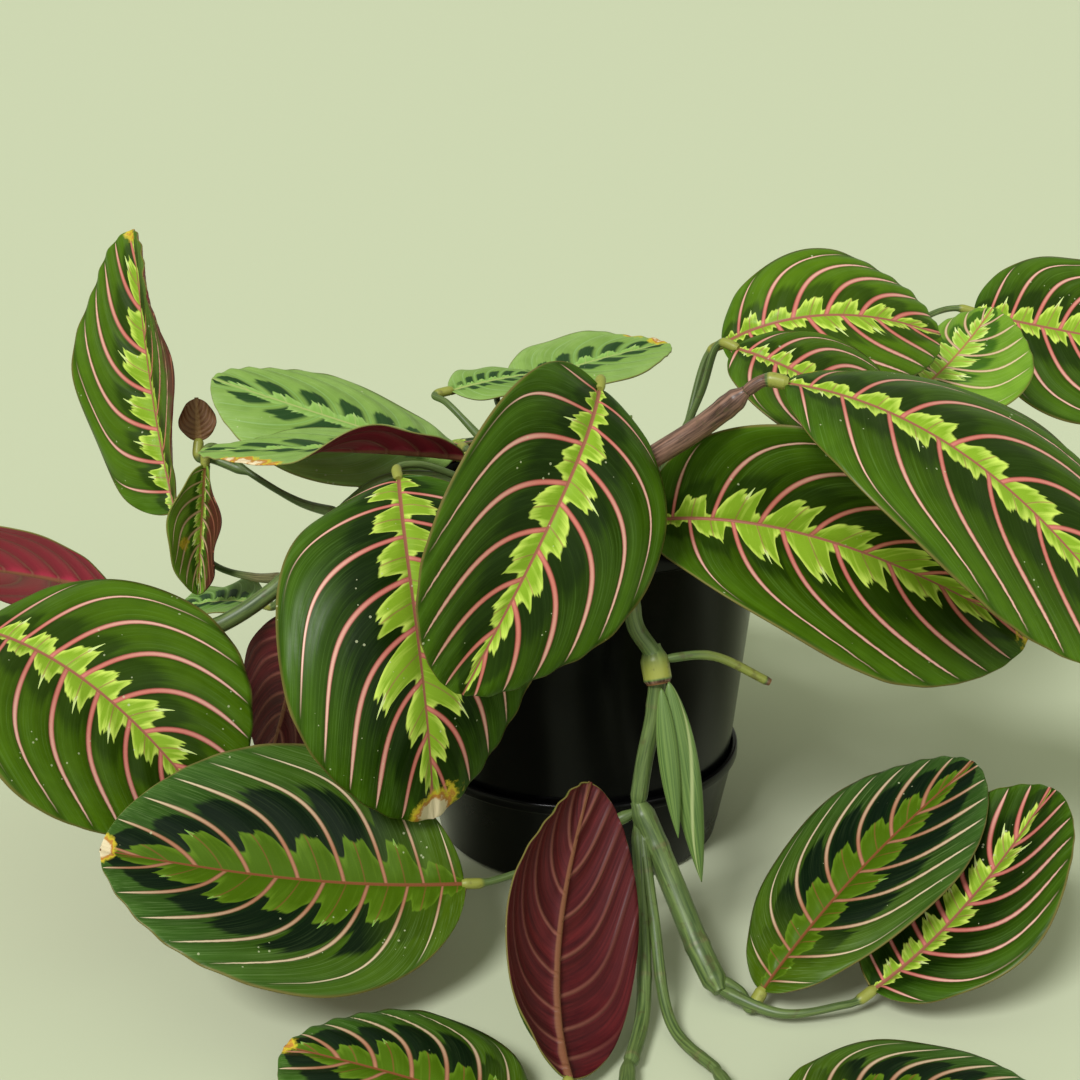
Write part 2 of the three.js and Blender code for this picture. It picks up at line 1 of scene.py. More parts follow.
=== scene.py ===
# %% [markdown]
# # A potted prayer plant
#
# Maranta leuconeura folds its broad leaves up at dusk, as if in prayer. This lesson builds
# one in its black nursery pot: first the studio, then the finishes, then the pot with its
# saucer and soil, and last the shoots and the leaves that arch and trail from them.
#
# The plain solids of the part are loaded as a fixed frame. Each finer piece made here
# stands in the same place as one of those solids and takes over its look.

# %% Load the frame
import json
import math
import random
from types import SimpleNamespace

import bpy
import numpy as np
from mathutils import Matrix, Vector, noise

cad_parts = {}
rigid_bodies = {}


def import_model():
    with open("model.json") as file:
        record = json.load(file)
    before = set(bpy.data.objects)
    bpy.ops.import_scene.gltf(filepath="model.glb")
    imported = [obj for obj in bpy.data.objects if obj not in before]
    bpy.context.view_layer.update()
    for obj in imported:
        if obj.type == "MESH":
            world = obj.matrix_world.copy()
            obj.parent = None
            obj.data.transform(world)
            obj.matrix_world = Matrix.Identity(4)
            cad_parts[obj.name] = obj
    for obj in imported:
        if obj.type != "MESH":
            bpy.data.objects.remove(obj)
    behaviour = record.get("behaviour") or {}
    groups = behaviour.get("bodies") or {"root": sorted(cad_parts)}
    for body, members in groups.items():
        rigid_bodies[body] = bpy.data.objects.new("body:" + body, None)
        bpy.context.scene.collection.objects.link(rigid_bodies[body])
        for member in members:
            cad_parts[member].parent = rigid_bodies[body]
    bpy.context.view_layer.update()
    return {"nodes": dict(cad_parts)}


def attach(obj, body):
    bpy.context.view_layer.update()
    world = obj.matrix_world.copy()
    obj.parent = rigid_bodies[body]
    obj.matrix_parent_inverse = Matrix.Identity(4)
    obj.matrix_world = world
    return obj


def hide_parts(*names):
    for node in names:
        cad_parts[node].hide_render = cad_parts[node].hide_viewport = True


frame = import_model()
MM = 0.001
print("solids in the frame:", len(frame["nodes"]))

# %% [markdown]
# ## Small helpers
#
# Colours are picked as sRGB hex values, as in any paint program, but a shader wants linear
# light, so one function converts them. Another adds one shader node, sets its options,
# fills its sockets, and hands back the socket that it gives. A word after the node's kind
# picks its operation, as in "Math MULTIPLY".

# %% Colours and nodes
def linear(code):
    """An sRGB hex colour as linear red, green, blue and alpha."""
    parts = [int(code[i:i + 2], 16) / 255 for i in (1, 3, 5)]
    return (*[c / 12.92 if c <= 0.04045 else ((c + 0.055) / 1.055) ** 2.4 for c in parts], 1)


def fill(tree, socket, value):
    """Gives an input a link, a hex colour or a plain value. None leaves it alone."""
    if isinstance(value, bpy.types.NodeSocket):
        tree.links.new(value, socket)
    elif isinstance(value, str):
        socket.default_value = linear(value)
    elif value is not None:
        socket.default_value = value


def node(tree, kind, *inputs, out=0, **settings):
    """Adds one node and returns one of its output sockets."""
    name, _, operation = kind.partition(" ")
    made = tree.nodes.new("ShaderNode" + name)
    if operation:
        setattr(made, "blend_type" if name == "MixRGB" else "operation", operation)
    for option, value in settings.items():
        setattr(made, option, value)
    for socket, value in zip(made.inputs, inputs):
        fill(tree, socket, value)
    return made.outputs[out]


def new_material(name):
    """An empty material with one Principled shader, and its node tree."""
    material = bpy.data.materials.new(name)
    material.use_nodes = True
    return material, material.node_tree, material.node_tree.nodes["Principled BSDF"]


def set_shader(shader, **values):
    """Fills the shader's own sockets by name: Base_Color fills Base Color."""
    for name, value in values.items():
        fill(shader.id_data, shader.inputs[name.replace("_", " ")], value)


def tinted(tree, colour, tone, values, low, high, most=1.0):
    """Lays a tone over a colour: none where the values are at low, the most at high."""
    share = node(tree, "MapRange", values, low, high, 0.0, most)
    return node(tree, "MixRGB", share, colour, tone)


print("middle grey as linear light:", round(linear("#808080")[0], 3))

# %% [markdown]
# Operators act on whatever is selected, so every step begins by selecting one thing only.
# A mesh's points are read and written as rows of an array, which is much faster than one point at
# a time. The last function gives a piece its finishes, says what it rides on, and hides the plain
# solid it replaces.

# %% Meshes and pieces
scene = bpy.context.scene


def select_only(piece):
    """Leaves one object selected and active."""
    bpy.ops.object.select_all(action="DESELECT")
    piece.select_set(True)
    bpy.context.view_layer.objects.active = piece


def copy_of(piece, name):
    """A copy with a mesh of its own, in the scene."""
    made = piece.copy()
    made.data = piece.data.copy()
    made.name = made.data.name = name
    scene.collection.objects.link(made)
    return made


def points_of(mesh):
    """The mesh's points, one row of x, y and z each."""
    places = np.empty(len(mesh.vertices) * 3)
    mesh.vertices.foreach_get("co", places)
    return places.reshape(-1, 3)


def place_points(mesh, points):
    """Moves the mesh's points to these rows of x, y and z."""
    mesh.vertices.foreach_set("co", points.ravel())


def write_attribute(mesh, name, values):
    """Stores one number for each point, which a shader reads by its name."""
    mesh.attributes.new(name, "FLOAT", "POINT").data.foreach_set("value", values)


def smooth_step(x, low, high):
    """0 below low, 1 above high, and a smooth rise between."""
    x = np.clip((x - low) / (high - low), 0, 1)
    return x * x * (3 - 2 * x)


def finish_piece(piece, node_name, slot, *materials):
    """Gives a piece its finish and its place in the part."""
    for material in materials:
        piece.data.materials.append(material)
    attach(piece, "root")
    if node_name:
        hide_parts(node_name)
    return piece


print("halfway up a smooth step:", smooth_step(0.5, 0, 1))

# %% [markdown]
# ## The studio
#
# The plant stands on a very large, pale sage floor. A sun lamp with a wide disc gives the
# soft, even shadows of a bright window. A weaker, still wider one and a sky of the same
# pale tone fill them. A sun lights a large floor evenly, where an area lamp would leave
# its far end dark.

# %% Floor and light
scene.view_settings.view_transform = "Standard"
scene.view_settings.look = "None"

bpy.ops.mesh.primitive_plane_add(size=80, location=(0, 0, 0))
floor = bpy.context.active_object
floor.name = "studio_floor"
paper, tree, shader = new_material("matt_sage_paper")
set_shader(shader, Base_Color="#c7ceb1", Roughness=0.95, Specular_IOR_Level=0.1)
floor.data.materials.append(paper)

world = bpy.data.worlds.new("soft_sky")
world.use_nodes = True
world.node_tree.nodes["Background"].inputs["Color"].default_value = linear("#edf3d9")
world.node_tree.nodes["Background"].inputs["Strength"].default_value = 0.5
scene.world = world

for name, strength, wide, turn in (
    ("window_sun", 2.75, 18, (38, -28, 0)),
    ("fill_sun", 0.5, 60, (55, 50, 0)),
):
    lamp = bpy.data.lights.new(name, "SUN")
    lamp.energy = strength
    lamp.angle = math.radians(wide)
    holder = bpy.data.objects.new(name, lamp)
    holder.rotation_euler = [math.radians(a) for a in turn]
    scene.collection.objects.link(holder)
print("lamps:", len(bpy.data.lights))

# %% [markdown]
# The camera looks down a little, from about 0.6 m away, as a person at a table would.

# %% Camera
LOOKS_DOWN = 18.3

camera = bpy.data.objects.new("camera", bpy.data.cameras.new("camera"))
camera.data.sensor_width = 36
camera.data.lens = 57.1
camera.data.clip_end = 100
camera.location = (-0.0134, -0.5519, 0.2873)
camera.rotation_euler = (math.radians(90 - LOOKS_DOWN), 0, 0)
scene.collection.objects.link(camera)
scene.camera = camera
print("camera looks down by", LOOKS_DOWN, "degrees from",
      round(camera.location.length, 3), "m away")

# %% [markdown]
# ## The leaf's finish
#
# A prayer plant's leaf is famous for its pattern. A lime band with torn, toothed lobes
# runs along the midrib, red veins arch from it towards the tip, and between them lies a
# deep green that pales near the margin. The pattern is bound to how the leaf grows, so it
# can't be a flat print: each blade carries maps of its own, which are worked out later
# with its shape.
#
# - "blade" holds the place along the midrib, 0 to 1, and across, -1 to 1.
# - "veins" holds a count that rises by one from each lateral vein to the next, and how
#   fast it rises per millimetre, so that a vein can have a real width.
# - "measure" holds the distance from the midrib in millimetres, and the leaf's number.
# - "character" holds how large the band's lobes are, and how much painted light brightens the
#   leaf.
#
# With these, a vein is simply where the count is close to a whole number.

# %% Read the maps
LEAF_MAPS = {"blade": ("along", "across"), "veins": ("count", "rise"),
             "measure": ("from_midrib", "leaf_number"), "character": ("lobe_size", "light")}


def read_maps(tree):
    """One socket for each value in the blade's maps, by name."""
    maps = SimpleNamespace(place=node(tree, "TexCoord", out=3))
    for layer, names in LEAF_MAPS.items():
        pair = node(tree, "SeparateXYZ", node(tree, "UVMap", uv_map=layer)).node
        for name, socket in zip(names, pair.outputs):
            setattr(maps, name, socket)
    maps.leaf_number = node(tree, "Math ROUND", maps.leaf_number)
    maps.reach = node(tree, "Math ABSOLUTE", maps.across)
    return maps


def vein_streaks(tree, maps, per_gap, outward=1.6, detail=3.0):
    """Noise in fine streaks that run with the veins, so many from one vein to the next."""
    place = node(tree, "CombineXYZ", node(tree, "Math MULTIPLY", maps.count, per_gap),
                 node(tree, "Math MULTIPLY", maps.reach, outward), maps.leaf_number)
    return node(tree, "TexNoise", place, None, 1.0, detail, 0.6)


def midrib(tree, maps, at_base, at_tip, strength):
    """Where the midrib lies. It tapers between two half widths in millimetres."""
    half = node(tree, "MapRange", maps.along, 0.0, 1.0, at_base, at_tip)
    return node(tree, "MapRange", maps.from_midrib, node(tree, "Math MULTIPLY", half, 0.6),
                half, strength, 0.0)


print("maps on each blade:", ", ".join(LEAF_MAPS))

# %% [markdown]
# ## Four looks
#
# Four kinds of leaf share one recipe with different values: the red-veined leaf, one with
# cream veins and near-black patches, a pale one with dark patches, and a young one. A
# value that a kind leaves out is the red-veined one's. The width of a vein and half the
# width of the midrib are in millimetres, and places on the blade are shares of it.

# %% The table of looks
RED_VEINED = dict(
    field="#162b00", margin="#3c5c0a", painted_light_tone="#587b0c", dark_to=0.35,
    patch="#091a02", patch_to=0.3, patch_sharp=0.55, patch_strength=0.6, patch_gap=0.0,
    patch_from=-0.2, base_colour="#3d6313", base_reaches=0.2, base_share=0.4,
    hairs=0.28, hair_colour="#6d8f4a", band=0.085, lobe=0.20, lobe_rise=0.28,
    lobe_end=0.68, band_at_tip=0.45, teeth=0.03, spike=0.10, band_inner="#82a428",
    band_edge="#c8de62", spike_colour="#ccdc8c", vein="#c8776c", vein_end="#e8c4b4",
    vein_edge_shade="#8c3a35", vein_width=1.5, vein_strength=1.0, painted_vein_shade=0.5, midrib="#98604c",
    half_rib=0.75, rough=0.36,
)
CREAM_VEINED = dict(
    RED_VEINED, field="#1c380c", margin="#3a5a22", painted_light_tone="#507c16", dark_to=0.5,
    patch="#05140a", patch_to=0.36, patch_sharp=0.82, patch_strength=0.95, patch_from=0.1,
    base_colour="#4b6508", base_reaches=0.75, base_share=0.85, hairs=0.4,
    hair_colour="#7f9a5e", band=0.20, lobe=0.18, band_at_tip=0.35, teeth=0.018, spike=0.04,
    band_inner="#45620a", band_edge="#5c7a1c", spike_colour="#7fa54c", vein="#a8735a",
    vein_end="#e2d5b4", vein_edge_shade="#5f3f22", vein_width=1.25, painted_vein_shade=0.4, midrib="#7c4a2c",
    half_rib=0.7,
)
PALE = dict(
    RED_VEINED, field="#4f7a24", margin="#709548", painted_light_tone="#9dbb62", dark_to=0.3,
    patch="#16381a", patch_sharp=0.8, patch_strength=0.95, patch_gap=0.17, patch_from=0.0,
    base_colour="#86a55a", base_reaches=0.3, hairs=0.4, hair_colour="#a9c28c", band=0.07,
    lobe=0.05, teeth=0.02, spike=0.03, band_inner="#7fa64e", band_edge="#93b763",
    spike_colour="#9cba6e", vein="#7fa55a", vein_end="#9db87a", vein_edge_shade="#6a9048",
    vein_width=0.8, vein_strength=0.7, painted_vein_shade=0.0, midrib="#a0ae68", half_rib=0.6, rough=0.48,
)
YOUNG = dict(
    RED_VEINED, field="#2f5a08", margin="#5f8c20", painted_light_tone="#86ac34", dark_to=0.2,
    patch="#1f4a06", patch_to=0.25, patch_strength=0.8, base_colour="#8fb048",
    base_reaches=0.4, base_share=0.5, hairs=0.4, hair_colour="#9dbb66", band=0.12,
    teeth=0.04, band_inner="#8db438", band_edge="#cfe27c", spike_colour="#dce8a4",
    vein="#cba98c", vein_end="#dcd2a4", vein_edge_shade="#7d6238", vein_width=1.0, painted_vein_shade=0.2,
    midrib="#a5784c", half_rib=0.7, rough=0.42,
)
print("a red vein is at most", RED_VEINED["vein_width"], "mm wide, and a young one",
      YOUNG["vein_width"], "mm")

# %% [markdown]
# ## The toothed band
#
# Each gap between two veins has a number, and from it a random lobe of its own. The lobe
# swells from one vein towards the next, and its end is torn into a few teeth. The result
# is how far a point lies past the smooth lobe, and how far past its toothed edge.

# %% Find the band's edge
def find_band(tree, maps, look):
    """Adds to the maps: chance, past_lobe and past_band."""
    side = node(tree, "Math SIGN", maps.across)
    gap = node(tree, "Math ADD", node(tree, "Math FLOOR", maps.count),
               node(tree, "Math MULTIPLY", side, 40.0))
    gap = node(tree, "Math ADD", gap, node(tree, "Math MULTIPLY", maps.leaf_number, 97.0))
    maps.chance = node(tree, "TexWhiteNoise", None, gap, noise_dimensions="1D")

    part = node(tree, "Math FRACT", maps.count)
    swell = node(tree, "MapRange", part, 0.02, look["lobe_rise"], 0.05, 1.0,
                 interpolation_type="SMOOTHSTEP")
    end = node(tree, "MapRange", part, look["lobe_end"], look["lobe_end"] + 0.16, 1.0, 0.0,
               interpolation_type="SMOOTHSTEP")
    lobe = node(tree, "Math MULTIPLY", swell, end)
    size = node(tree, "MapRange", maps.chance, 0.0, 1.0, 0.5, 1.15)
    lobe = node(tree, "Math MULTIPLY", lobe, size)
    lobe = node(tree, "Math MULTIPLY", lobe, maps.lobe_size)
    edge = node(tree, "Math MULTIPLY_ADD", lobe, look["lobe"], look["band"])
    taper = node(tree, "MapRange", maps.along, 0.55, 1.0, 1.0, look["band_at_tip"])
    edge = node(tree, "Math MULTIPLY", edge, taper)
    maps.past_lobe = node(tree, "Math SUBTRACT", maps.reach, edge)

    place = node(tree, "CombineXYZ", node(tree, "Math MULTIPLY", maps.count, 5.0), side,
                 maps.leaf_number)
    teeth = node(tree, "TexNoise", place, None, 1.0, 1.0, 0.5)
    saw = node(tree, "Math FRACT", node(tree, "Math MULTIPLY_ADD", maps.count, 3.0,
                                        node(tree, "Math MULTIPLY", teeth, 1.6)))
    saw = node(tree, "Math MULTIPLY", saw, lobe)
    teeth = node(tree, "MapRange", teeth, 0.35, 0.65, -look["teeth"], look["teeth"])
    teeth = node(tree, "Math MULTIPLY_ADD", saw, look["teeth"] * 1.8, teeth)
    edge = node(tree, "Math ADD", edge, teeth)
    maps.past_band = node(tree, "Math SUBTRACT", maps.reach, edge)


SPIKE_STARTS = -0.03  # a little inside the band's edge
PLAIN_GAPS = 0.68     # share of the gaps that have no spike


def find_spikes(tree, maps, look):
    """Secondary veins lie halfway between the others. Some run on into a pale spike."""
    half = node(tree, "Math SUBTRACT", 0.5, node(tree, "Math PINGPONG", maps.count, 0.5))
    maps.from_half = node(tree, "Math DIVIDE", half, maps.rise)
    width = node(tree, "MapRange", maps.past_band, SPIKE_STARTS, look["spike"], 0.55, 0.05)
    spike = node(tree, "Math LESS_THAN", maps.from_half, width)
    spike = node(tree, "Math MULTIPLY", spike,
                 node(tree, "Math GREATER_THAN", maps.past_band, SPIKE_STARTS))
    here = node(tree, "Math GREATER_THAN", maps.chance, PLAIN_GAPS)
    here = node(tree, "Math MULTIPLY", here,
                node(tree, "Math LESS_THAN", maps.past_band, look["spike"]))
    return node(tree, "Math MULTIPLY", spike, here)


print("gaps in 100 that end in a spike: about", round(100 * (1 - PLAIN_GAPS)))

# %% [markdown]
# ## The green field
#
# The field is dark beside the band and paler by the margin, streaked and mottled, with a
# tone of its own near the base. Dark patches lie on it between the veins, and over it run
# hair-fine pale streaks that follow the veins.

# %% Paint the field
def green_field(tree, maps, look):
    """The plain green between the veins, with the leaf's share of painted light mixed in."""
    to_margin = node(tree, "MapRange", maps.reach, look["dark_to"], 1.0, 0.0, 1.0,
                     interpolation_type="SMOOTHSTEP")
    to_tip = node(tree, "MapRange", maps.along, 0.7, 1.0, 0.0, 0.7,
                  interpolation_type="SMOOTHSTEP")
    to_margin = node(tree, "Math MAXIMUM", to_margin, to_tip)
    to_margin = node(tree, "Math ADD", to_margin,
                     node(tree, "MapRange", maps.streaks, 0.3, 0.7, -0.22, 0.22),
                     use_clamp=True)
    colour = node(tree, "MixRGB", to_margin, look["field"], look["margin"])
    # Painted light: the leaf's light share mixes in a paler tone, more on leaves in the sun and
    # none on leaves in shade.
    colour = node(tree, "MixRGB", maps.light, colour, look["painted_light_tone"])
    near_base = node(tree, "MapRange", maps.along, 0.0, look["base_reaches"],
                     look["base_share"], 0.0)
    colour = node(tree, "MixRGB", near_base, colour, look["base_colour"])
    mottle = node(tree, "TexNoise", maps.place, None, 140.0, 2.0, 0.5)
    return node(tree, "MixRGB MULTIPLY",
                node(tree, "MapRange", mottle, 0.35, 0.7, 0.0, 0.35), colour, "#b9c7a0")


def dark_patches(tree, maps, look):
    """How strongly a point belongs to a dark patch beside the band."""
    uneven = node(tree, "MapRange", maps.chance, 0.0, 1.0, -0.06, 0.06)
    uneven = node(tree, "Math ADD", uneven,
                  node(tree, "MapRange", maps.streaks, 0.3, 0.7, -0.03, 0.03))
    patch = node(tree, "MapRange", node(tree, "Math ADD", maps.past_lobe, uneven),
                 look["patch_to"] * look["patch_sharp"], look["patch_to"], 1.0, 0.0,
                 interpolation_type="SMOOTHSTEP")
    patch = node(tree, "Math MULTIPLY", patch, look["patch_strength"])
    between_veins = node(tree, "MapRange", node(tree, "Math PINGPONG", maps.count, 0.5),
                         look["patch_gap"] - 0.07, look["patch_gap"] + 0.07, 0.0, 1.0)
    patch = node(tree, "Math MULTIPLY", patch, between_veins)
    return node(tree, "Math MULTIPLY", patch,
                node(tree, "MapRange", maps.along, look["patch_from"], look["patch_from"] + 0.2))


def fine_hairs(tree, maps, look, patch):
    """Pale streaks, stronger by the margin and fainter inside a patch."""
    hairs = vein_streaks(tree, maps, per_gap=30.0, outward=2.5, detail=2.0)
    hairs = node(tree, "MapRange", hairs, 0.5, 0.72, 0.0, look["hairs"])
    hairs = node(tree, "Math MULTIPLY", hairs,
                 node(tree, "MapRange", maps.reach, 0.2, 0.8, 0.3, 1.0))
    return node(tree, "Math MULTIPLY", hairs,
                node(tree, "Math MULTIPLY_ADD", patch, -0.8, 1.0))


print("field", RED_VEINED["field"], "pales to", RED_VEINED["margin"], "by the margin")

# %% [markdown]
# ## The veins
#
# A lateral vein is a coloured line of real width. Its two sides are painted darker, as the shade
# on a rounded vein, and a faint painted shade lies beside it, where the vein is sunk into the
# blade. It thins towards the margin, the base and the tip, and fades out just before the margin.
# The thin secondary veins show on the band only.

# %% Paint the band and the veins
MOST_OF_GAP = 0.13  # half a vein's width at most, where the gap between two veins is 1


def paint_band(tree, maps, look, colour):
    """The band is bright along its toothed edge and green beside the midrib."""
    maps.on_band = node(tree, "MapRange", maps.past_band, 0.008, -0.012, 0.0, 1.0)
    edge = node(tree, "MapRange", maps.past_band, -0.10, 0.0, 0.0, 1.0)
    edge = node(tree, "Math ADD", edge,
                node(tree, "MapRange", maps.streaks, 0.35, 0.65, -0.45, 0.3), use_clamp=True)
    band = node(tree, "MixRGB", edge, look["band_inner"], look["band_edge"])
    return node(tree, "MixRGB", maps.on_band, colour, band)


def vein_half_width(tree, maps, look):
    """Half the vein's width in millimetres, and never much of the gap between two veins."""
    fine = node(tree, "MapRange", maps.reach, 0.5, 0.95, 1.0, 0.3,
                interpolation_type="SMOOTHSTEP")
    fine_base = node(tree, "MapRange", maps.along, 0.02, 0.3, 0.55, 1.0)
    fine_tip = node(tree, "MapRange", maps.along, 0.8, 0.98, 1.0, 0.5)
    width = node(tree, "Math MULTIPLY", fine, fine_base)
    width = node(tree, "Math MULTIPLY", width, fine_tip)
    width = node(tree, "Math MULTIPLY", width, look["vein_width"] / 2)
    return node(tree, "Math MINIMUM", width, node(tree, "Math DIVIDE", MOST_OF_GAP, maps.rise))


def paint_veins(tree, maps, look, colour):
    """Painted shade beside the veins, lateral veins with painted shade on their sides, and the
    thin secondary ones, over the colours so far.
    """
    near = node(tree, "Math DIVIDE", node(tree, "Math PINGPONG", maps.count, 0.5), maps.rise)
    width = vein_half_width(tree, maps, look)
    # Painted shade: the field darkens beside each vein, off the band, as if the sunk vein cast
    # it.
    painted_vein_shade = node(tree, "MapRange", near, width, node(tree, "Math ADD", width, 1.3), 1.0, 0.0)
    painted_vein_shade = node(tree, "Math MULTIPLY", painted_vein_shade,
                node(tree, "Math SUBTRACT", 1.0, maps.on_band))
    colour = node(tree, "MixRGB", node(tree, "Math MULTIPLY", painted_vein_shade, look["painted_vein_shade"]), colour,
                  look["field"])
    maps.on_vein = node(tree, "MapRange", near, node(tree, "Math MULTIPLY", width, 0.75),
                        node(tree, "Math MULTIPLY", width, 1.25), 1.0, 0.0)
    vein = tinted(tree, look["vein"], look["vein_end"], maps.reach, 0.25, 0.95)
    # Painted shade: the vein darkens towards its two sides, as a rounded vein would be shaded.
    vein = tinted(tree, vein, look["vein_edge_shade"], near,
                  node(tree, "Math MULTIPLY", width, 0.3), width, 0.85)
    fade = node(tree, "MapRange", maps.reach, 0.84, 0.95, look["vein_strength"], 0.0)
    colour = node(tree, "MixRGB", node(tree, "Math MULTIPLY", maps.on_vein, fade), colour, vein)
    thin = node(tree, "MapRange", maps.from_half, 0.1, 0.3, 0.6, 0.0)
    thin = node(tree, "Math MULTIPLY", thin, maps.on_band)
    return node(tree, "MixRGB", thin, colour, look["midrib"])


print("a vein takes up at most", 2 * MOST_OF_GAP, "of the gap between two")

# %% [markdown]
# ## What a leaf's life leaves on it
#
# The margin is a thin, hard, brownish line. Watering leaves small pale specks of lime.
# Where the wine red of the underside shows through, the leaf blushes, and old tips dry from
# yellow through tan to papery white. The same dark blush also paints shade on the half of a
# folded leaf that turns from the light. Where a leaf blushes or dries is written on the blade as
# a number, and noise makes the edges of those places ragged.

# %% Margin, specks, blush and painted shade, and dry spots
DRY_STAGES = ((0.22, 0.40, "#c9b533"), (0.42, 0.50, "#b9813a"), (0.58, 0.70, "#e2d2ae"))


def marks_of_life(tree, maps, colour):
    """Lays the margin's line, specks, the blush that also paints shade, and dry spots over the
    leaf's own colours.
    """
    colour = tinted(tree, colour, "#7b6a3c", maps.reach, 0.975, 0.995, 0.7)
    specks = node(tree, "TexVoronoi", maps.place, None, 330.0)
    rare = node(tree, "TexNoise", maps.place, None, 60.0, 1.0, 0.5)
    speck = node(tree, "Math LESS_THAN", specks,
                 node(tree, "MapRange", rare, 0.52, 0.7, 0.0, 0.13))
    colour = node(tree, "MixRGB", node(tree, "Math MULTIPLY", speck, 0.55), colour, "#c3c7a2")
    # Blush: the underside's wine red on the upper face, and on left_upright a painted shade along
    # its folded margin.
    blush_and_shade = node(tree, "Attribute", attribute_name="blush_and_shade", out=2)
    blush_and_shade = node(tree, "Math ADD", blush_and_shade,
                 node(tree, "MapRange", maps.streaks, 0.3, 0.7, -0.2, 0.2))
    wine = node(tree, "MixRGB", maps.on_vein, "#4f2a1f", "#8a5442")
    colour = tinted(tree, colour, wine, blush_and_shade, 0.35, 0.6)
    dry = node(tree, "Attribute", attribute_name="dry", out=2)
    ragged = node(tree, "TexNoise", maps.place, None, 420.0, 3.0, 0.6)
    dry = node(tree, "Math ADD", dry, node(tree, "MapRange", ragged, 0.3, 0.7, -0.16, 0.16))
    for starts, full, tone in DRY_STAGES:
        colour = tinted(tree, colour, tone, dry, starts, full)
    return colour


print("stages of drying:", len(DRY_STAGES))

# %% [markdown]
# ## The upper face, put together
#
# The layers go on in the order in which they hide each other. The cuticle is a thin wax
# over living tissue, so the leaf has a soft sheen and no hard highlight. It is ribbed
# along the streaks, and the veins are pressed in a little.

# %% The upper face
LEAF_IOR = 1.43


def leaf_upper(name, look):
    """The upper face of a blade: field, band, spikes, veins, midrib and marks."""
    material, tree, shader = new_material(name)
    maps = read_maps(tree)
    maps.streaks = vein_streaks(tree, maps, per_gap=9.0)
    find_band(tree, maps, look)
    patch = dark_patches(tree, maps, look)
    colour = node(tree, "MixRGB", patch, green_field(tree, maps, look), look["patch"])
    hairs = fine_hairs(tree, maps, look, patch)
    colour = node(tree, "MixRGB", hairs, colour, look["hair_colour"])
    colour = paint_band(tree, maps, look, colour)
    spikes = find_spikes(tree, maps, look)
    colour = node(tree, "MixRGB", spikes, colour, look["spike_colour"])
    colour = paint_veins(tree, maps, look, colour)
    rib = midrib(tree, maps, look["half_rib"], 0.35, 1.0)
    colour = node(tree, "MixRGB", rib, colour, look["midrib"])
    colour = marks_of_life(tree, maps, colour)

    rough = node(tree, "MapRange", maps.streaks, 0.3, 0.7, look["rough"] - 0.06,
                 look["rough"] + 0.08)
    height = node(tree, "Math MULTIPLY_ADD", maps.on_vein, -0.5,
                  node(tree, "Math MULTIPLY", maps.streaks, 0.8))
    set_shader(shader, Base_Color=colour, Roughness=rough, IOR=LEAF_IOR,
               Specular_IOR_Level=0.16, Normal=node(tree, "Bump", 0.25, 0.0004, 1.0, height))
    return material


uppers = {
    "red": leaf_upper("leaf_cuticle_red_veined", RED_VEINED),
    "cream": leaf_upper("leaf_cuticle_cream_veined", CREAM_VEINED),
    "pale": leaf_upper("leaf_cuticle_pale", PALE),
    "young": leaf_upper("leaf_cuticle_young", YOUNG),
}
print("upper faces:", ", ".join(uppers))

# %% [markdown]
# ## The underside
#
# The underside is wine red, because its cells hold a pigment that turns light back into
# the leaf. Its veins stand out paler, and it is duller than the upper face. A leaf that
# has dried out is brown on both faces.

# %% The underside and the dried leaf
def leaf_under(name, body, deep, painted_lit_tone, vein_colour, rib_colour, strength=1.0):
    """The underside: a wine-red or green skin with paler veins, and a brighter tone painted in as
    light.
    """
    material, tree, shader = new_material(name)
    maps = read_maps(tree)
    streaks = vein_streaks(tree, maps, per_gap=7.0)
    mottle = node(tree, "TexNoise", maps.place, None, 90.0, 3.0, 0.6)
    colour = tinted(tree, body, deep, streaks, 0.3, 0.7)
    colour = tinted(tree, colour, deep, mottle, 0.45, 0.7, 0.5)
    # Painted light: the leaf's light share mixes in a brighter tone where the underside stands in
    # the sun.
    colour = node(tree, "MixRGB", maps.light, colour, painted_lit_tone)
    near = node(tree, "Math DIVIDE", node(tree, "Math PINGPONG", maps.count, 0.5), maps.rise)
    beside = node(tree, "MapRange", near, 0.6, 3.2, 0.35 * strength, 0.0)
    colour = node(tree, "MixRGB", beside, colour, deep)
    on_vein = node(tree, "MapRange", near, 0.25, 0.75, 1.0, 0.0)
    fade = node(tree, "MapRange", maps.reach, 0.2, 0.95, 0.7 * strength, 0.1)
    colour = node(tree, "MixRGB", node(tree, "Math MULTIPLY", on_vein, fade), colour, vein_colour)
    rib = midrib(tree, maps, 1.5, 0.4, 0.9)
    colour = node(tree, "MixRGB", rib, colour, rib_colour)
    height = node(tree, "Math ADD", on_vein, node(tree, "Math MULTIPLY", streaks, 0.6))
    set_shader(shader, Base_Color=colour, Roughness=0.46, IOR=LEAF_IOR,
               Specular_IOR_Level=0.24, Normal=node(tree, "Bump", 0.5, 0.0006, 1.0, height))
    return material


wine_underside = leaf_under("leaf_underside_wine", "#611d20", "#3c0f15", "#b0304a", "#8c564a",
                            "#7d5138")
green_underside = leaf_under("leaf_underside_green", "#7f9f66", "#5f8448", "#93b07a", "#a9bb86",
                             "#a9bb86")
dried_leaf = leaf_under("leaf_tissue_dried", "#4a3022", "#6d4a2d", "#6d4a2d", "#8a6a45",
                        "#8a6a45", 0.5)
print("undersides:", wine_underside.name, green_underside.name, dried_leaf.name)

# %% [markdown]
# ## Pot and saucer
#
# A nursery pot is thin black polypropylene, moulded in one shot. It could be a cone with
# two loops cut in, but a turned profile gives the rim, the wall and the floor their real
# thickness in one go: half of the cut through the wall is drawn as a line and spun once
# round the axis. The saucer clips on below, and its lip catches the light above a groove.
# Moulded plastic has no sharp corner, so a small bevel rounds each edge.

# %% Turn the pot and the saucer
SPIN_STEPS = 128


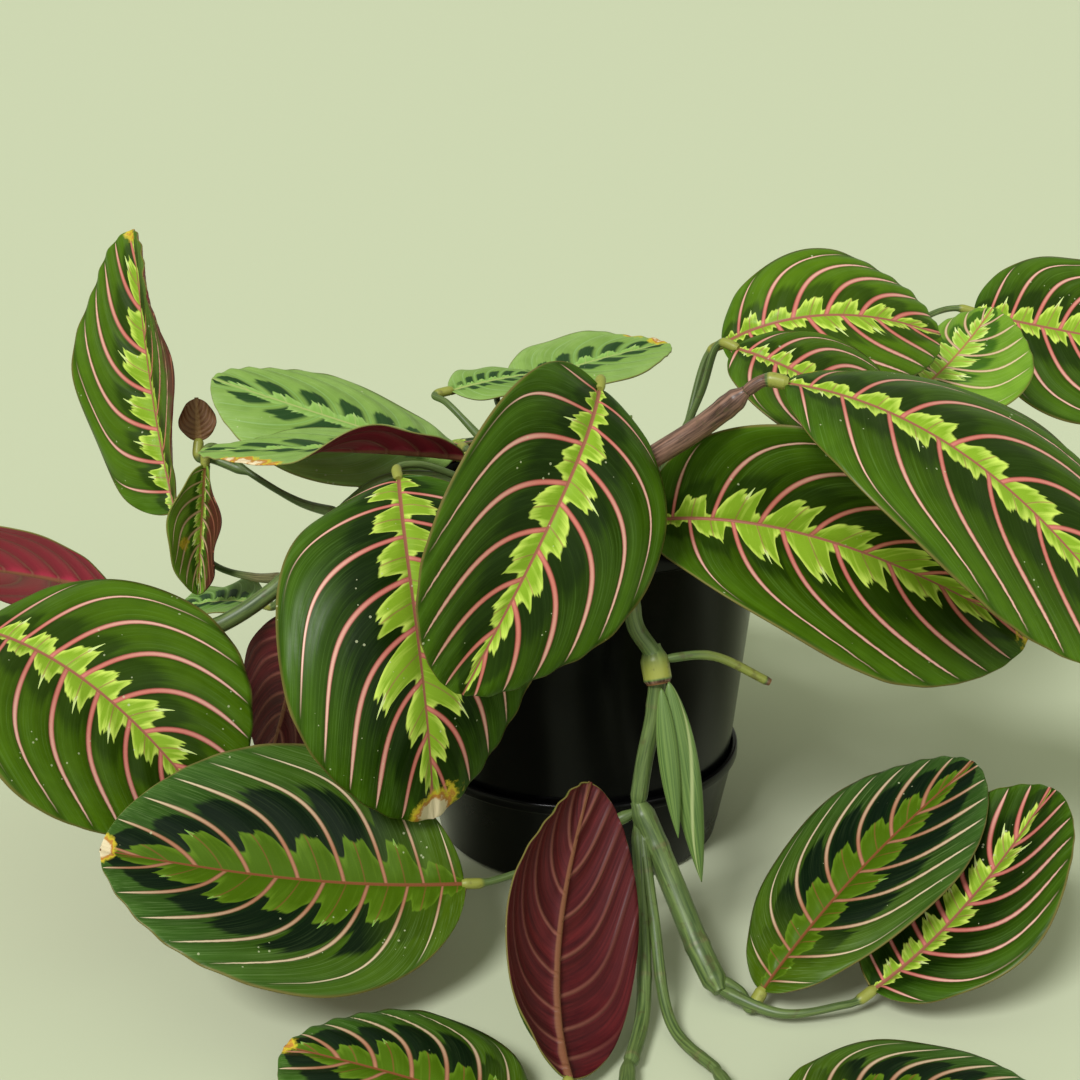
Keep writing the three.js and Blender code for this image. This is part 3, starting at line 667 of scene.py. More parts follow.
def turned(name, profile, bevel=0.4):
    """Spins a closed profile of (radius, height) in millimetres into a solid."""
    mesh = bpy.data.meshes.new(name)
    points = [(r * MM, 0, z * MM) for r, z in profile]
    mesh.from_pydata(points, [(i, i + 1) for i in range(len(points) - 1)], [])
    piece = bpy.data.objects.new(name, mesh)
    scene.collection.objects.link(piece)
    select_only(piece)
    bpy.ops.object.mode_set(mode="EDIT")
    bpy.ops.mesh.select_all(action="SELECT")
    bpy.ops.mesh.spin(steps=SPIN_STEPS, angle=math.tau, center=(0, 0, 0), axis=(0, 0, 1))
    bpy.ops.mesh.select_all(action="SELECT")
    bpy.ops.mesh.remove_doubles(threshold=1e-5)
    bpy.ops.mesh.normals_make_consistent(inside=False)
    bpy.ops.object.mode_set(mode="OBJECT")
    if bevel:
        edge = piece.modifiers.new("moulded_edges", "BEVEL")
        edge.width = bevel * MM
        edge.segments = 2
        edge.limit_method = "ANGLE"
        edge.angle_limit = math.radians(28)
        bpy.ops.object.modifier_apply(modifier=edge.name)
    bpy.ops.object.shade_smooth_by_angle(angle=math.radians(40))
    return piece


POT_HEIGHT, RIM_RADIUS, RIM_DEPTH, WALL = 120, 64, 6.5, 1.8
WAIST_HEIGHT, WAIST_RADIUS, FOOT_RADIUS = 33, 53.4, 46.6
SAUCER_FOOT, SAUCER_RADIUS, SOIL_HEIGHT, CLEARANCE = 49, 55.9, 108, 0.3
pot_foot = 2 + CLEARANCE
rim_underside = POT_HEIGHT - RIM_DEPTH


def pot_radius(height):
    """Outside of the pot's wall at a height above its waist."""
    slope = (RIM_RADIUS - 2.2 - WAIST_RADIUS) / (rim_underside - WAIST_HEIGHT)
    return WAIST_RADIUS + slope * (height - WAIST_HEIGHT)


pot = turned("nursery_pot", [
    (0, pot_foot), (FOOT_RADIUS - 1, pot_foot), (FOOT_RADIUS, pot_foot + 1),
    (WAIST_RADIUS, WAIST_HEIGHT), (pot_radius(rim_underside), rim_underside),
    (RIM_RADIUS - 0.5, rim_underside), (RIM_RADIUS, rim_underside + 0.6),
    (RIM_RADIUS, POT_HEIGHT - 0.8), (RIM_RADIUS - 0.8, POT_HEIGHT),
    (RIM_RADIUS - WALL, POT_HEIGHT), (pot_radius(rim_underside) - WALL, rim_underside - 1),
    (WAIST_RADIUS - WALL, WAIST_HEIGHT), (FOOT_RADIUS - WALL, pot_foot + WALL),
    (0, pot_foot + WALL),
])
saucer = turned("clip_on_saucer", [
    (0, 0), (SAUCER_FOOT - 1.4, 0), (SAUCER_FOOT, 1.4), (SAUCER_RADIUS - 1.3, WAIST_HEIGHT - 4),
    (SAUCER_RADIUS, WAIST_HEIGHT - 3.4), (SAUCER_RADIUS, WAIST_HEIGHT - 0.5),
    (SAUCER_RADIUS - 0.5, WAIST_HEIGHT), (SAUCER_RADIUS - WALL, WAIST_HEIGHT),
    (SAUCER_RADIUS - WALL - 1, WAIST_HEIGHT - 4), (SAUCER_FOOT - WALL, 2), (0, 2),
])
print("pot faces:", len(pot.data.polygons), "saucer faces:", len(saucer.data.polygons))

# %% [markdown]
# Four drain holes go through the pot's floor. A Boolean modifier cuts them with plain
# cylinders, which are removed afterwards.

# %% Drain holes
HOLES, HOLE_RADIUS, HOLE_CIRCLE = 4, 4, 28
for i in range(HOLES):
    angle = math.pi * (2 * i + 1) / HOLES
    bpy.ops.mesh.primitive_cylinder_add(
        vertices=24, radius=HOLE_RADIUS * MM, depth=6 * MM,
        location=(HOLE_CIRCLE * MM * math.cos(angle), HOLE_CIRCLE * MM * math.sin(angle),
                  pot_foot * MM))
    drill = bpy.context.active_object
    select_only(pot)
    cut = pot.modifiers.new("drain_hole", "BOOLEAN")
    cut.operation = "DIFFERENCE"
    cut.solver = "EXACT"
    cut.object = drill
    bpy.ops.object.modifier_apply(modifier=cut.name)
    bpy.data.objects.remove(drill)
print("pot faces with drain holes:", len(pot.data.polygons))

# %% [markdown]
# ## Polypropylene and soil
#
# The pot's plastic is black all through, with the satin skin of a blasted mould: smooth
# enough for a long soft highlight, and dulled by dust and dried splashes near the foot.

# %% Black polypropylene
polypropylene, tree, shader = new_material("moulded_black_polypropylene")
place = node(tree, "TexCoord", out=3)
dust = node(tree, "TexNoise", place, None, 55.0, 4.0, 0.6)
height = node(tree, "SeparateXYZ", place, out=2)
low = node(tree, "MapRange", height, 0.0, 0.05, 0.3, 0.06)
dust = node(tree, "Math MULTIPLY", node(tree, "MapRange", dust, 0.45, 0.75, 0.0, 1.0), low)
grain = node(tree, "TexNoise", place, None, 1800.0, 2.0, 0.5)
set_shader(shader, Base_Color=node(tree, "MixRGB", dust, "#040405", "#2a2a27"),
           Roughness=node(tree, "MapRange", dust, 0.0, 0.5, 0.2, 0.55), IOR=1.49,
           Specular_IOR_Level=0.16, Normal=node(tree, "Bump", 0.06, 0.0002, 1.0, grain))
finish_piece(pot, "pot", "pot_plastic", polypropylene)
finish_piece(saucer, "drip_saucer", "pot_plastic", polypropylene)
print("finished:", pot.name, "and", saucer.name)

# %% [markdown]
# Potting mix is damp peat with bark and a little white perlite. Its body is turned like
# the pot, and its top is then raised and lowered by a noise, as crumbs would lie. Bark
# chips and perlite grains are each modelled once, then copied with a new size and turn.
# %% Potting mix
TOP_RADIUS, TOP_RINGS, CRUMB_HEIGHT = 52, 34, 1.3
inset = WALL + CLEARANCE
top_rings = [(TOP_RADIUS - TOP_RADIUS * i / TOP_RINGS,
              SOIL_HEIGHT + 0.4 + 1.6 * (i / TOP_RINGS) ** 0.7) for i in range(TOP_RINGS + 1)]
soil = turned("potting_mix", [
    (0, pot_foot + inset), (FOOT_RADIUS - inset, pot_foot + inset),
    (WAIST_RADIUS - inset, WAIST_HEIGHT), (pot_radius(SOIL_HEIGHT) - inset, SOIL_HEIGHT - 1.5),
    *top_rings,
], bevel=0)
places = points_of(soil.data)
for point in places:
    if point[2] > (SOIL_HEIGHT - 1) * MM:
        crumb = noise.fractal(Vector(point) * 260, 1.0, 2.0, 3)
        point[2] += crumb * CRUMB_HEIGHT * MM
place_points(soil.data, places)
soil.data.update()

peat, tree, shader = new_material("damp_peat_and_bark")
place = node(tree, "TexCoord", out=3)
coarse = node(tree, "TexNoise", place, None, 300.0, 5.0, 0.7)
fine_grain = node(tree, "TexVoronoi", place, None, 700.0)
height = node(tree, "Math ADD", coarse, fine_grain)
set_shader(shader, Base_Color=tinted(tree, "#1c120b", "#4a3423", coarse, 0.35, 0.65),
           Roughness=0.95, Specular_IOR_Level=0.2,
           Normal=node(tree, "Bump", 0.8, 0.0012, 1.0, height))
finish_piece(soil, "soil", "potting_soil", peat)
print("soil faces:", len(soil.data.polygons))

# %% [markdown]
# Loose bits lie on top. The square root in their distance from the middle spreads them
# evenly over the disc, and each stone's points are moved at random, so no two are alike.

# %% Bark chips and perlite
STREWN_RADIUS = 57
random.seed(11)


def strew(stone, low, high, flat):
    """One copy of the stone with a new form, size, turn and place on the soil."""
    radius = STREWN_RADIUS * math.sqrt(random.random())
    angle = random.uniform(0, math.tau)
    size = random.uniform(low, high)
    grain = copy_of(stone, "grain")
    for vertex in grain.data.vertices:
        vertex.co *= random.uniform(0.65, 1.15)
    stretch = random.uniform(0.55, 1.0)
    grain.scale = (size * MM, size * stretch * MM, size * flat * MM)
    grain.rotation_euler = [random.uniform(-0.3, 0.3), random.uniform(-0.3, 0.3), angle * 7]
    top = SOIL_HEIGHT + 1.9 - 1.4 * (radius / STREWN_RADIUS) ** 2
    grain.location = (radius * math.cos(angle) * MM, radius * math.sin(angle) * MM, top * MM)
    return grain


def scatter(name, count, low, high, flat, material):
    """Strews one rough stone over the soil and joins the copies into one piece."""
    bpy.ops.mesh.primitive_ico_sphere_add(subdivisions=1, radius=1)
    stone = bpy.context.active_object
    grains = [strew(stone, low, high, flat) for _ in range(count)]
    bpy.data.objects.remove(stone)
    select_only(grains[0])
    for grain in grains:
        grain.select_set(True)
    bpy.ops.object.join()
    joined = bpy.context.active_object
    joined.name = joined.data.name = name
    bpy.ops.object.transform_apply(location=True, rotation=True, scale=True)
    return finish_piece(joined, None, "potting_soil", material)


bark, tree, shader = new_material("composted_pine_bark")
tint = node(tree, "TexNoise", node(tree, "TexCoord", out=3), None, 160.0, 2.0, 0.5)
set_shader(shader, Base_Color=tinted(tree, "#2a1a10", "#6a4a30", tint, 0.35, 0.65),
           Roughness=0.85)
perlite, tree, shader = new_material("expanded_perlite")
set_shader(shader, Base_Color="#d9d6cb", Roughness=0.9)
chips = scatter("bark_chips", 240, 1.6, 4.6, 0.42, bark)
grains = scatter("perlite_grains", 60, 0.9, 2.0, 0.8, perlite)
print("bark faces:", len(chips.data.polygons), "perlite faces:", len(grains.data.polygons))

# %% [markdown]
# ## Where the leaves are
#
# The leaves and shoots follow the same numbers as the frame's plain solids. A leaf has a
# base point, the direction of its midrib there (heading, rise, roll), its length and
# width, how far the midrib bends down (droop), to the left (sweep) and round itself
# (twist) by the tip, and how each half folds up at the midrib and curls by the margin.
# All lengths are in millimetres and all angles in degrees.
#
# Most of these numbers weren't chosen one by one. For each leaf that a photograph shows well, a
# program fitted this form to points read off the photograph, and its results were rounded. The
# other leaves were set without it.

# %% The table of leaves
LEAVES = {
    "front_centre": dict(base=(4, -62, 172), heading=-95, rise=-15, roll=-25,
        length=107, width=71, droop=81, sweep=-9, twist=-8,
        fold=(8, 18), curl=(-40, 15), look="red"),
    "front_left": dict(base=(-56, -56, 143), heading=-84, rise=-16, roll=0,
        length=113, width=84, droop=84, sweep=14, twist=-23,
        fold=(7, 6), curl=(-12, -42), look="red"),
    "right_wide": dict(base=(21, -48, 127), heading=-25, rise=14, roll=55,
        length=129, width=80, droop=55, sweep=-25, twist=26,
        fold=(34, 33), curl=(16, 13), look="red"),
    "right_over": dict(base=(57, -72, 176), heading=-15, rise=-4, roll=17,
        length=134, width=80, droop=43, sweep=-24, twist=14,
        fold=(7, 10), curl=(-46, -20), look="red"),
    "right_high": dict(base=(47, 6, 171), heading=-31, rise=35, roll=56,
        length=81, width=57, droop=79, sweep=-4, twist=2,
        fold=(8, 11), curl=(-29, -21), look="red"),
    "right_inner": dict(base=(48, -24, 176), heading=-36, rise=-7, roll=33,
        length=68, width=56, droop=51, sweep=12, twist=3,
        fold=(2, 18), curl=(-41, -8), look="red"),
    "right_young": dict(base=(113, 22, 149), heading=31, rise=23, roll=18,
        length=53, width=55, droop=-5, sweep=17, twist=-4,
        fold=(4, 3), curl=(-38, -32), look="young"),
    "right_far": dict(base=(149, 84, 167), heading=-5, rise=-12, roll=45,
        length=85, width=74, droop=3, sweep=6, twist=4,
        fold=(8, 9), curl=(-28, -24), look="red"),
    "top_pale": dict(base=(-23, 36, 149), heading=25, rise=16, roll=11,
        length=64, width=49, droop=12, sweep=2, twist=-5,
        fold=(10, 10), curl=(-13, -13), look="pale"),
    "top_small": dict(base=(-44, 20, 152), heading=27, rise=10, roll=12,
        length=34, width=27, droop=13, sweep=6, twist=0,
        fold=(9, 9), curl=(-27, -25), look="pale"),
    "middle_pale": dict(base=(-43, 26, 127), heading=168, rise=14, roll=-12,
        length=90, width=59, droop=-5, sweep=6, twist=-15,
        fold=(0, 4), curl=(-20, -33), look="pale"),
    "middle_flat": dict(base=(-38, -10, 137), heading=177, rise=6, roll=7,
        length=89, width=50, droop=10, sweep=-4, twist=-6,
        fold=(5, 6), curl=(-9, -7), look="pale"),
    "left_upright": dict(base=(-142, 25, 107), heading=119, rise=55, roll=-39,
        length=102, width=64, droop=-15, sweep=-16, twist=0,
        fold=(-2, 47), curl=(-20, 0), look="red"),
    "left_folded": dict(base=(-129, 18, 126), heading=244, rise=-77, roll=-17,
        length=45, width=33, droop=0, sweep=2, twist=-13,
        fold=(49, 51), curl=(16, 18), look="young"),
    "left_dried": dict(base=(-132, 24, 133), heading=100, rise=66, roll=0,
        length=15, width=13, droop=0, sweep=0, twist=0,
        fold=(12, 12), curl=(-19, -19), look="dry"),
    "left_turned": dict(base=(-158, -4, 87), heading=156, rise=7, roll=58,
        length=78, width=59, droop=16, sweep=4, twist=-7,
        fold=(11, 12), curl=(-23, -20), look="red"),
    "left_big": dict(base=(-186, -62, 97), heading=-20, rise=-4, roll=10,
        length=97, width=84, droop=54, sweep=0, twist=35,
        fold=(9, 15), curl=(-16, -10), look="red"),
    "left_small": dict(base=(-111, 8, 79), heading=154, rise=0, roll=-6,
        length=44, width=34, droop=24, sweep=0, twist=-4,
        fold=(12, 11), curl=(-19, -22), look="pale"),
    "left_shaded": dict(base=(-94, -12, 83), heading=230, rise=-83, roll=176,
        length=55, width=45, droop=10, sweep=10, twist=0,
        fold=(11, 12), curl=(-22, -20), look="red"),
    "low_left": dict(base=(-36, -98, 29), heading=191, rise=3, roll=-42,
        length=107, width=80, droop=-13, sweep=-9, twist=8,
        fold=(19, 19), curl=(-10, -5), look="cream"),
    "low_right": dict(base=(51, -121, 7), heading=39, rise=39, roll=-14,
        length=101, width=54, droop=18, sweep=2, twist=22,
        fold=(16, 10), curl=(-29, -25), look="cream"),
    "low_far_right": dict(base=(83, -122, 8), heading=26, rise=22, roll=8,
        length=84, width=57, droop=-16, sweep=13, twist=-15,
        fold=(17, 11), curl=(5, -17), look="red"),
    "low_turned": dict(base=(-6, -163, 7), heading=105, rise=22, roll=208,
        length=85, width=53, droop=50, sweep=2, twist=1,
        fold=(8, 3), curl=(-31, -50), look="red"),
    "low_front": dict(base=(-15, -180, 7), heading=166, rise=15, roll=2,
        length=72, width=58, droop=17, sweep=-10, twist=-16,
        fold=(12, 8), curl=(-20, -29), look="cream"),
    "low_side": dict(base=(50, -172, 5), heading=-3, rise=9, roll=4,
        length=70, width=46, droop=14, sweep=6, twist=0,
        fold=(10, 10), curl=(-14, -14), look="cream"),
    "back_centre": dict(base=(-5, 57, 129), heading=92, rise=2, roll=0,
        length=98, width=58, droop=66, sweep=6, twist=0,
        fold=(12, 12), curl=(-24, -24), look="red"),
    "back_right": dict(base=(54, 47, 124), heading=44, rise=-2, roll=-4,
        length=90, width=58, droop=62, sweep=4, twist=0,
        fold=(10, 12), curl=(-22, -26), look="red"),
    "back_left": dict(base=(-42, 48, 125), heading=112, rise=-2, roll=2,
        length=86, width=52, droop=65, sweep=4, twist=0,
        fold=(12, 10), curl=(-24, -20), look="red"),
    "back_side": dict(base=(68, 12, 126), heading=8, rise=0, roll=4,
        length=88, width=54, droop=62, sweep=8, twist=0,
        fold=(12, 12), curl=(-22, -22), look="red"),
    "back_high": dict(base=(106, 56, 152), heading=84, rise=-6, roll=0,
        length=78, width=50, droop=34, sweep=4, twist=0,
        fold=(12, 12), curl=(-22, -22), look="red"),
    "right_hanging": dict(base=(64, -18, 125), heading=-6, rise=0, roll=0,
        length=62, width=38, droop=66, sweep=0, twist=0,
        fold=(10, 10), curl=(-20, -20), look="pale"),
    "crown": dict(base=(3, -4, 142), heading=92, rise=2, roll=0,
        length=50, width=33, droop=22, sweep=4, twist=0,
        fold=(14, 14), curl=(-10, -10), look="young"),
    "back_trailing": dict(base=(-46, 90, 52), heading=148, rise=-8, roll=-6,
        length=82, width=56, droop=34, sweep=6, twist=0,
        fold=(10, 12), curl=(-20, -24), look="cream"),
    "back_low": dict(base=(-12, 124, 8), heading=76, rise=14, roll=3,
        length=86, width=56, droop=16, sweep=4, twist=0,
        fold=(10, 10), curl=(-16, -16), look="cream"),
}
print("leaves:", len(LEAVES))

# %% [markdown]
# A shoot's canes are its thick stems, each with a radius and the points that it passes.
# Its petioles are the thin stalks, and each ends at the leaf that it is named after. The stems
# that can be seen follow guide points that were read off, with guessed depths.

# %% The table of shoots
SHOOTS = {
    "stem_centre": dict(
        canes=[
            (3.6, [(-8, -12, 96), (-8, -12, 113), (-8, -14, 123)]),
        ],
        petioles={
            "front_centre": [(-8, -14, 119), (0, -28, 146)],
            "front_left": [(-8, -13, 117), (-30, -34, 133), (-50, -45, 144)],
            "top_pale": [(-9, -12, 118), (-19, 8, 136)],
            "middle_pale": [(-9, -11, 114), (-22, 14, 117)],
            "middle_flat": [(-9, -13, 116), (-22, -12, 131)],
            "top_small": [(-22, -12, 131), (-35, 2, 142), (-45, 11, 150)],
            "crown": [(-8, -14, 118), (-3, -15, 134)],
        },
    ),
    "stem_right": dict(
        canes=[
            (3.4, [(24, -8, 96), (24, -8, 105), (24, -8, 114), (24, -20, 130), (19, -52, 145)]),
            (3.6, [(19, -46, 143), (19, -61, 150), (33, -66, 161), (46, -70, 173)]),
            (2.2, [(24, -9, 114), (44, 4, 127), (66, 14, 137), (98, 50, 152)]),
        ],
        petioles={
            "right_over": [(44, -69, 171)],
            "right_wide": [(25, -10, 113), (18, -32, 119)],
            "right_high": [(24, -14, 122), (34, 0, 140)],
            "right_inner": [(24, -18, 127), (38, -18, 160)],
            "right_young": [(62, 12, 135), (95, 16, 143)],
            "right_far": [(92, 44, 149), (134, 82, 167)],
            "back_high": [(94, 44, 149), (103, 48, 153)],
            "right_hanging": [(25, -9, 115), (44, -14, 123)],
        },
    ),
    "stem_left": dict(
        canes=[
            (3.1, [(-26, 2, 96), (-26, 2, 105), (-26, 2, 114), (-42, -2, 125),
                   (-66, -5, 126), (-103, -8, 90), (-124, -14, 78), (-150, -17, 72)]),
        ],
        petioles={
            "left_upright": [(-99, -8, 94), (-112, 4, 90), (-128, 15, 91)],
            "left_folded": [(-80, -6, 116), (-96, 8, 116), (-114, 19, 123), (-126, 21, 132)],
            "left_dried": [(-114, 19, 123), (-128, 23, 127)],
            "left_turned": [(-128, -15, 77), (-146, -9, 84)],
            "left_small": [(-98, -7, 95), (-102, 2, 84)],
            "left_shaded": [(-90, -7, 103), (-93, -11, 94)],
            "left_big": [(-144, -16, 74), (-176, -24, 76), (-200, -42, 88)],
        },
    ),
    "stem_front": dict(
        canes=[
            (2.8, [(3, -32, 96), (3, -32, 105), (3, -33, 114), (5, -46, 123),
                   (9, -61, 128), (13, -72, 117), (15, -76, 103), (21, -78, 93),
                   (21, -80, 78), (18, -83, 62), (16, -86, 48)]),
            (4.6, [(20, -76, 97), (22, -80, 86)]),
            (1.5, [(22, -78, 93), (38, -75, 93), (56, -74, 84)]),
            (4, [(16, -85, 50), (26, -97, 29), (34, -110, 13), (39, -120, 6)]),
            (1.8, [(17, -88, 44), (20, -107, 24), (24, -133, 4), (36, -156, 3.5)]),
            (2.3, [(16, -88, 44), (17, -106, 23), (16, -130, 6), (11, -153, 3.5)]),
        ],
        petioles={
            "low_left": [(16, -86, 47), (3, -88, 41), (-14, -92, 32)],
            "low_right": [(37, -116, 9), (45, -119, 5)],
            "low_far_right": [(38, -118, 6), (56, -128, 4), (73, -127, 6)],
            "low_side": [(34, -153, 3.5), (40, -167, 3.5)],
            "low_turned": [(11, -150, 4), (7, -167, 2.8), (-1, -172, 3)],
            "low_front": [(11, -150, 4), (9, -172, 2.8), (0, -183, 4)],
        },
    ),
    "stem_back": dict(
        canes=[
            (3.4, [(4, 20, 96), (4, 20, 105), (4, 20, 114), (4, 28, 123)]),
            (2.6, [(4, 26, 118), (-12, 42, 125), (-24, 61, 126), (-30, 75, 96),
                   (-33, 84, 58), (-30, 96, 24), (-22, 110, 6)]),
        ],
        petioles={
            "back_centre": [(4, 26, 119), (-1, 42, 127)],
            "back_right": [(5, 25, 117), (30, 33, 122)],
            "back_left": [(3, 25, 116), (-22, 30, 119), (-36, 35, 124.5)],
            "back_side": [(5, 23, 116), (38, 14, 123)],
            "back_trailing": [(-34, 84, 62), (-38, 85, 55)],
            "back_low": [(-21, 108, 8), (-16, 116, 5.5)],
        },
    ),
}
print("shoots:", len(SHOOTS))

# %% [markdown]
# ## The leaf's own directions
#
# The same few formulas place a blade and aim the end of its petiole, so both meet. The
# bend is strongest near the base and eases towards the tip, as gravity bends a leaf.

# %% Directions of a leaf
def turn_about(axis, degrees):
    """A 3 by 3 matrix that turns about X, Y or Z."""
    c, s = math.cos(math.radians(degrees)), math.sin(math.radians(degrees))
    i, j = {"X": (1, 2), "Y": (2, 0), "Z": (0, 1)}[axis]
    matrix = np.eye(3)
    matrix[i, i] = matrix[j, j] = c
    matrix[i, j], matrix[j, i] = -s, s
    return matrix


def leaf_axes(leaf):
    """Columns: along the midrib at the base, to the left, and up out of the blade."""
    return (turn_about("Z", leaf["heading"]) @ turn_about("Y", -leaf["rise"])
            @ turn_about("X", leaf["roll"]))


def bend(leaf, t):
    """How the blade has turned by the fraction t of its length."""
    share = 1 - (1 - t) ** 1.6
    return (turn_about("Z", leaf["sweep"] * share) @ turn_about("Y", leaf["droop"] * share)
            @ turn_about("X", leaf["twist"] * share))


along = leaf_axes(LEAVES["front_centre"])[:, 0]
print("the front leaf leaves its petiole along", along.round(2))

# %% [markdown]
# ## The shoots
#
# A stalk is a rod that has grown along a curve. Instead of a curve object, one sheet is
# modelled as an unrolled rod, and each stalk is a copy of it, rolled up round a smooth
# route with the stalk's own profile. That keeps a map along each stalk for its streaks,
# and makes the swollen joints exact. The sheet's two long edges then meet and are merged,
# and its ends are filled. Last, a union joins a shoot's stalks to one closed skin.

# %% One unrolled rod
RINGS, SIDES = 110, 14
bpy.ops.mesh.primitive_grid_add(x_subdivisions=RINGS, y_subdivisions=SIDES, size=2)
rod = bpy.context.active_object
rod.name = "unrolled_rod"
print("rod vertices:", len(rod.data.vertices))

# %% [markdown]
# A route is a smooth curve through the given points. The rod's rings stand on it at even
# distances. Each ring has two directions square to the curve, carried along from one ring
# to the next, so that the rod isn't wrung.

# %% Routes
NO_STEM_STARTS_THIS_WAY = (0.13, 0.31, 0.94)
STEPS_BETWEEN_POINTS = 24


def smooth_route(points):
    """A dense Catmull-Rom curve with centripetal spacing through the points."""
    points = [np.array(p, float) for p in points]
    points = [2 * points[0] - points[1], *points, 2 * points[-1] - points[-2]]
    dense = []
    for p0, p1, p2, p3 in zip(points, points[1:], points[2:], points[3:]):
        d0, d1, d2 = (max(np.linalg.norm(b - a) ** 0.5, 1e-4)
                      for a, b in ((p0, p1), (p1, p2), (p2, p3)))
        m1 = ((p1 - p0) / d0 - (p2 - p0) / (d0 + d1) + (p2 - p1) / d1) * d1
        m2 = ((p2 - p1) / d1 - (p3 - p1) / (d1 + d2) + (p3 - p2) / d2) * d1
        for s in np.linspace(0, 1, STEPS_BETWEEN_POINTS, endpoint=False):
            dense.append((2 * s**3 - 3 * s**2 + 1) * p1 + (s**3 - 2 * s**2 + s) * m1
                         + (3 * s**2 - 2 * s**3) * p2 + (s**3 - s**2) * m2)
    dense.append(points[-2])
    return np.array(dense)


def even_stations(route):
    """One distance along the route for each ring, and the point there."""
    steps = np.linalg.norm(np.diff(route, axis=0), axis=1)
    distance = np.concatenate([[0], np.cumsum(steps)])
    stations = np.linspace(0, distance[-1], RINGS + 1)
    return stations, np.stack([np.interp(stations, distance, route[:, k]) for k in range(3)],
                              axis=1)


def ring_directions(centre):
    """Two directions square to the route at each ring, carried along it without a twist."""
    heading = np.gradient(centre, axis=0)
    heading /= np.linalg.norm(heading, axis=1)[:, None]
    side = np.cross(heading[0], NO_STEM_STARTS_THIS_WAY)
    sides = []
    for direction in heading:
        side = side - direction * side.dot(direction)
        side /= np.linalg.norm(side)
        sides.append(side)
    return np.array(sides), np.cross(heading, sides)


print("points on a route past two others:", len(smooth_route([(0, 0, 0), (1, 1, 0), (2, 0, 0)])))

# %% [markdown]
# Rolling up works on the sheet's flat points: one coordinate says which ring a point
# belongs to, and the other its angle on that ring. The rolled leaf further on is closed
# in the same way, so that step and the streaks' map have functions of their own.

# %% Roll up a rod
def stretch_grain(mesh, length):
    """Names the sheet's own map, and stretches it to the length in millimetres."""
    grain = mesh.uv_layers[0]
    grain.name = "grain"
    places = np.empty(len(mesh.loops) * 2)
    grain.data.foreach_get("uv", places)
    grain.data.foreach_set("uv", places * np.tile([length, 1], len(mesh.loops)))


def close_tube(piece):
    """Merges the two long edges of a rolled-up sheet and fills its ends."""
    select_only(piece)
    bpy.ops.object.mode_set(mode="EDIT")
    bpy.ops.mesh.select_all(action="SELECT")
    bpy.ops.mesh.remove_doubles(threshold=1e-6)
    bpy.ops.mesh.fill_holes(sides=0)
    bpy.ops.mesh.select_all(action="SELECT")
    bpy.ops.mesh.normals_make_consistent(inside=False)
    bpy.ops.object.mode_set(mode="OBJECT")


def stalk(name, points, radius_at, skin_at):
    """A copy of the rod, carried along the points. Both functions take two distances in
    millimetres, from the start and from the end."""
    stations, centre = even_stations(smooth_route(points))
    sides, others = ring_directions(centre)
    length = stations[-1]
    piece = copy_of(rod, name)
    flat = points_of(piece.data)
    ring = np.rint((flat[:, 0] + 1) / 2 * RINGS).astype(int)
    angle = math.pi * flat[:, 1]
    radius = np.array([radius_at(d, length - d) for d in stations])[ring]
    placed = (centre[ring] + sides[ring] * (radius * np.cos(angle))[:, None]
              + others[ring] * (radius * np.sin(angle))[:, None])
    place_points(piece.data, placed * MM)
    stretch_grain(piece.data, length)
    skin = np.array([skin_at(d, length - d) for d in stations])
    write_attribute(piece.data, "skin", skin[ring])
    close_tube(piece)
    return piece


print("each stalk has", RINGS + 1, "rings of", SIDES, "points")

# %% [markdown]
# The stalks are glossy green and finely streaked along their length. Where a sheath wraps
# a cane it turns brown and purple, and the pulvinus, the joint that lifts the leaf at
# night, is a swollen yellow-green. The attribute "skin" says where: 1 is sheath, -1 is
# pulvinus, 0 is plain stalk, and 2 is a brown cut end.

# %% The stalks' finish
def long_streaks(tree, along, scale, roughness):
    """Noise in streaks along a rod. It meets itself where the sheet's long edges meet."""
    grain = node(tree, "SeparateXYZ", node(tree, "UVMap", uv_map="grain")).node
    distance, around, _ = grain.outputs
    turn = node(tree, "Math MULTIPLY", around, math.tau)
    place = node(tree, "CombineXYZ", node(tree, "Math MULTIPLY", distance, along),
                 node(tree, "Math SINE", turn), node(tree, "Math COSINE", turn))
    return node(tree, "TexNoise", place, None, scale, 4.0, roughness)


stem_skin, tree, shader = new_material("stem_epidermis")
streaks = long_streaks(tree, along=0.018, scale=3.2, roughness=0.65)
spots = node(tree, "TexNoise", node(tree, "TexCoord", out=3), None, 260.0, 3.0, 0.6)
skin = node(tree, "Attribute", attribute_name="skin", out=2)
colour = tinted(tree, "#3b4f28", "#6b7f45", streaks, 0.35, 0.65)
purple = tinted(tree, "#34201a", "#8c6a5a", streaks, 0.35, 0.6)
colour = tinted(tree, colour, purple, skin, 0.15, 0.7)
colour = tinted(tree, colour, "#8f9340", skin, -0.1, -0.8)
colour = tinted(tree, colour, "#4d4327", spots, 0.58, 0.68, 0.5)
colour = tinted(tree, colour, "#6e4a2a", skin, 1.3, 1.9)
set_shader(shader, Base_Color=colour, IOR=1.45,
           Roughness=node(tree, "MapRange", streaks, 0.3, 0.7, 0.34, 0.5),
           Normal=node(tree, "Bump", 0.2, 0.0003, 1.0, streaks))
print("stalk finish:", stem_skin.name)

# %% [markdown]
# A petiole starts as a sheath clasped round the cane, thins to a wiry stalk and swells
# into its pulvinus. A cane keeps its width, with a ring where each sheath once began. All
# distances here are in millimetres, from the start or from the end of the stalk.

# %% Petioles and canes
PULVINUS_LENGTH, SHEATH_LENGTH, PETIOLE_RADIUS = 6, 30, 1.15
FIRST_RING, RING_SPACING, RING_COUNT = 15, 31, 9


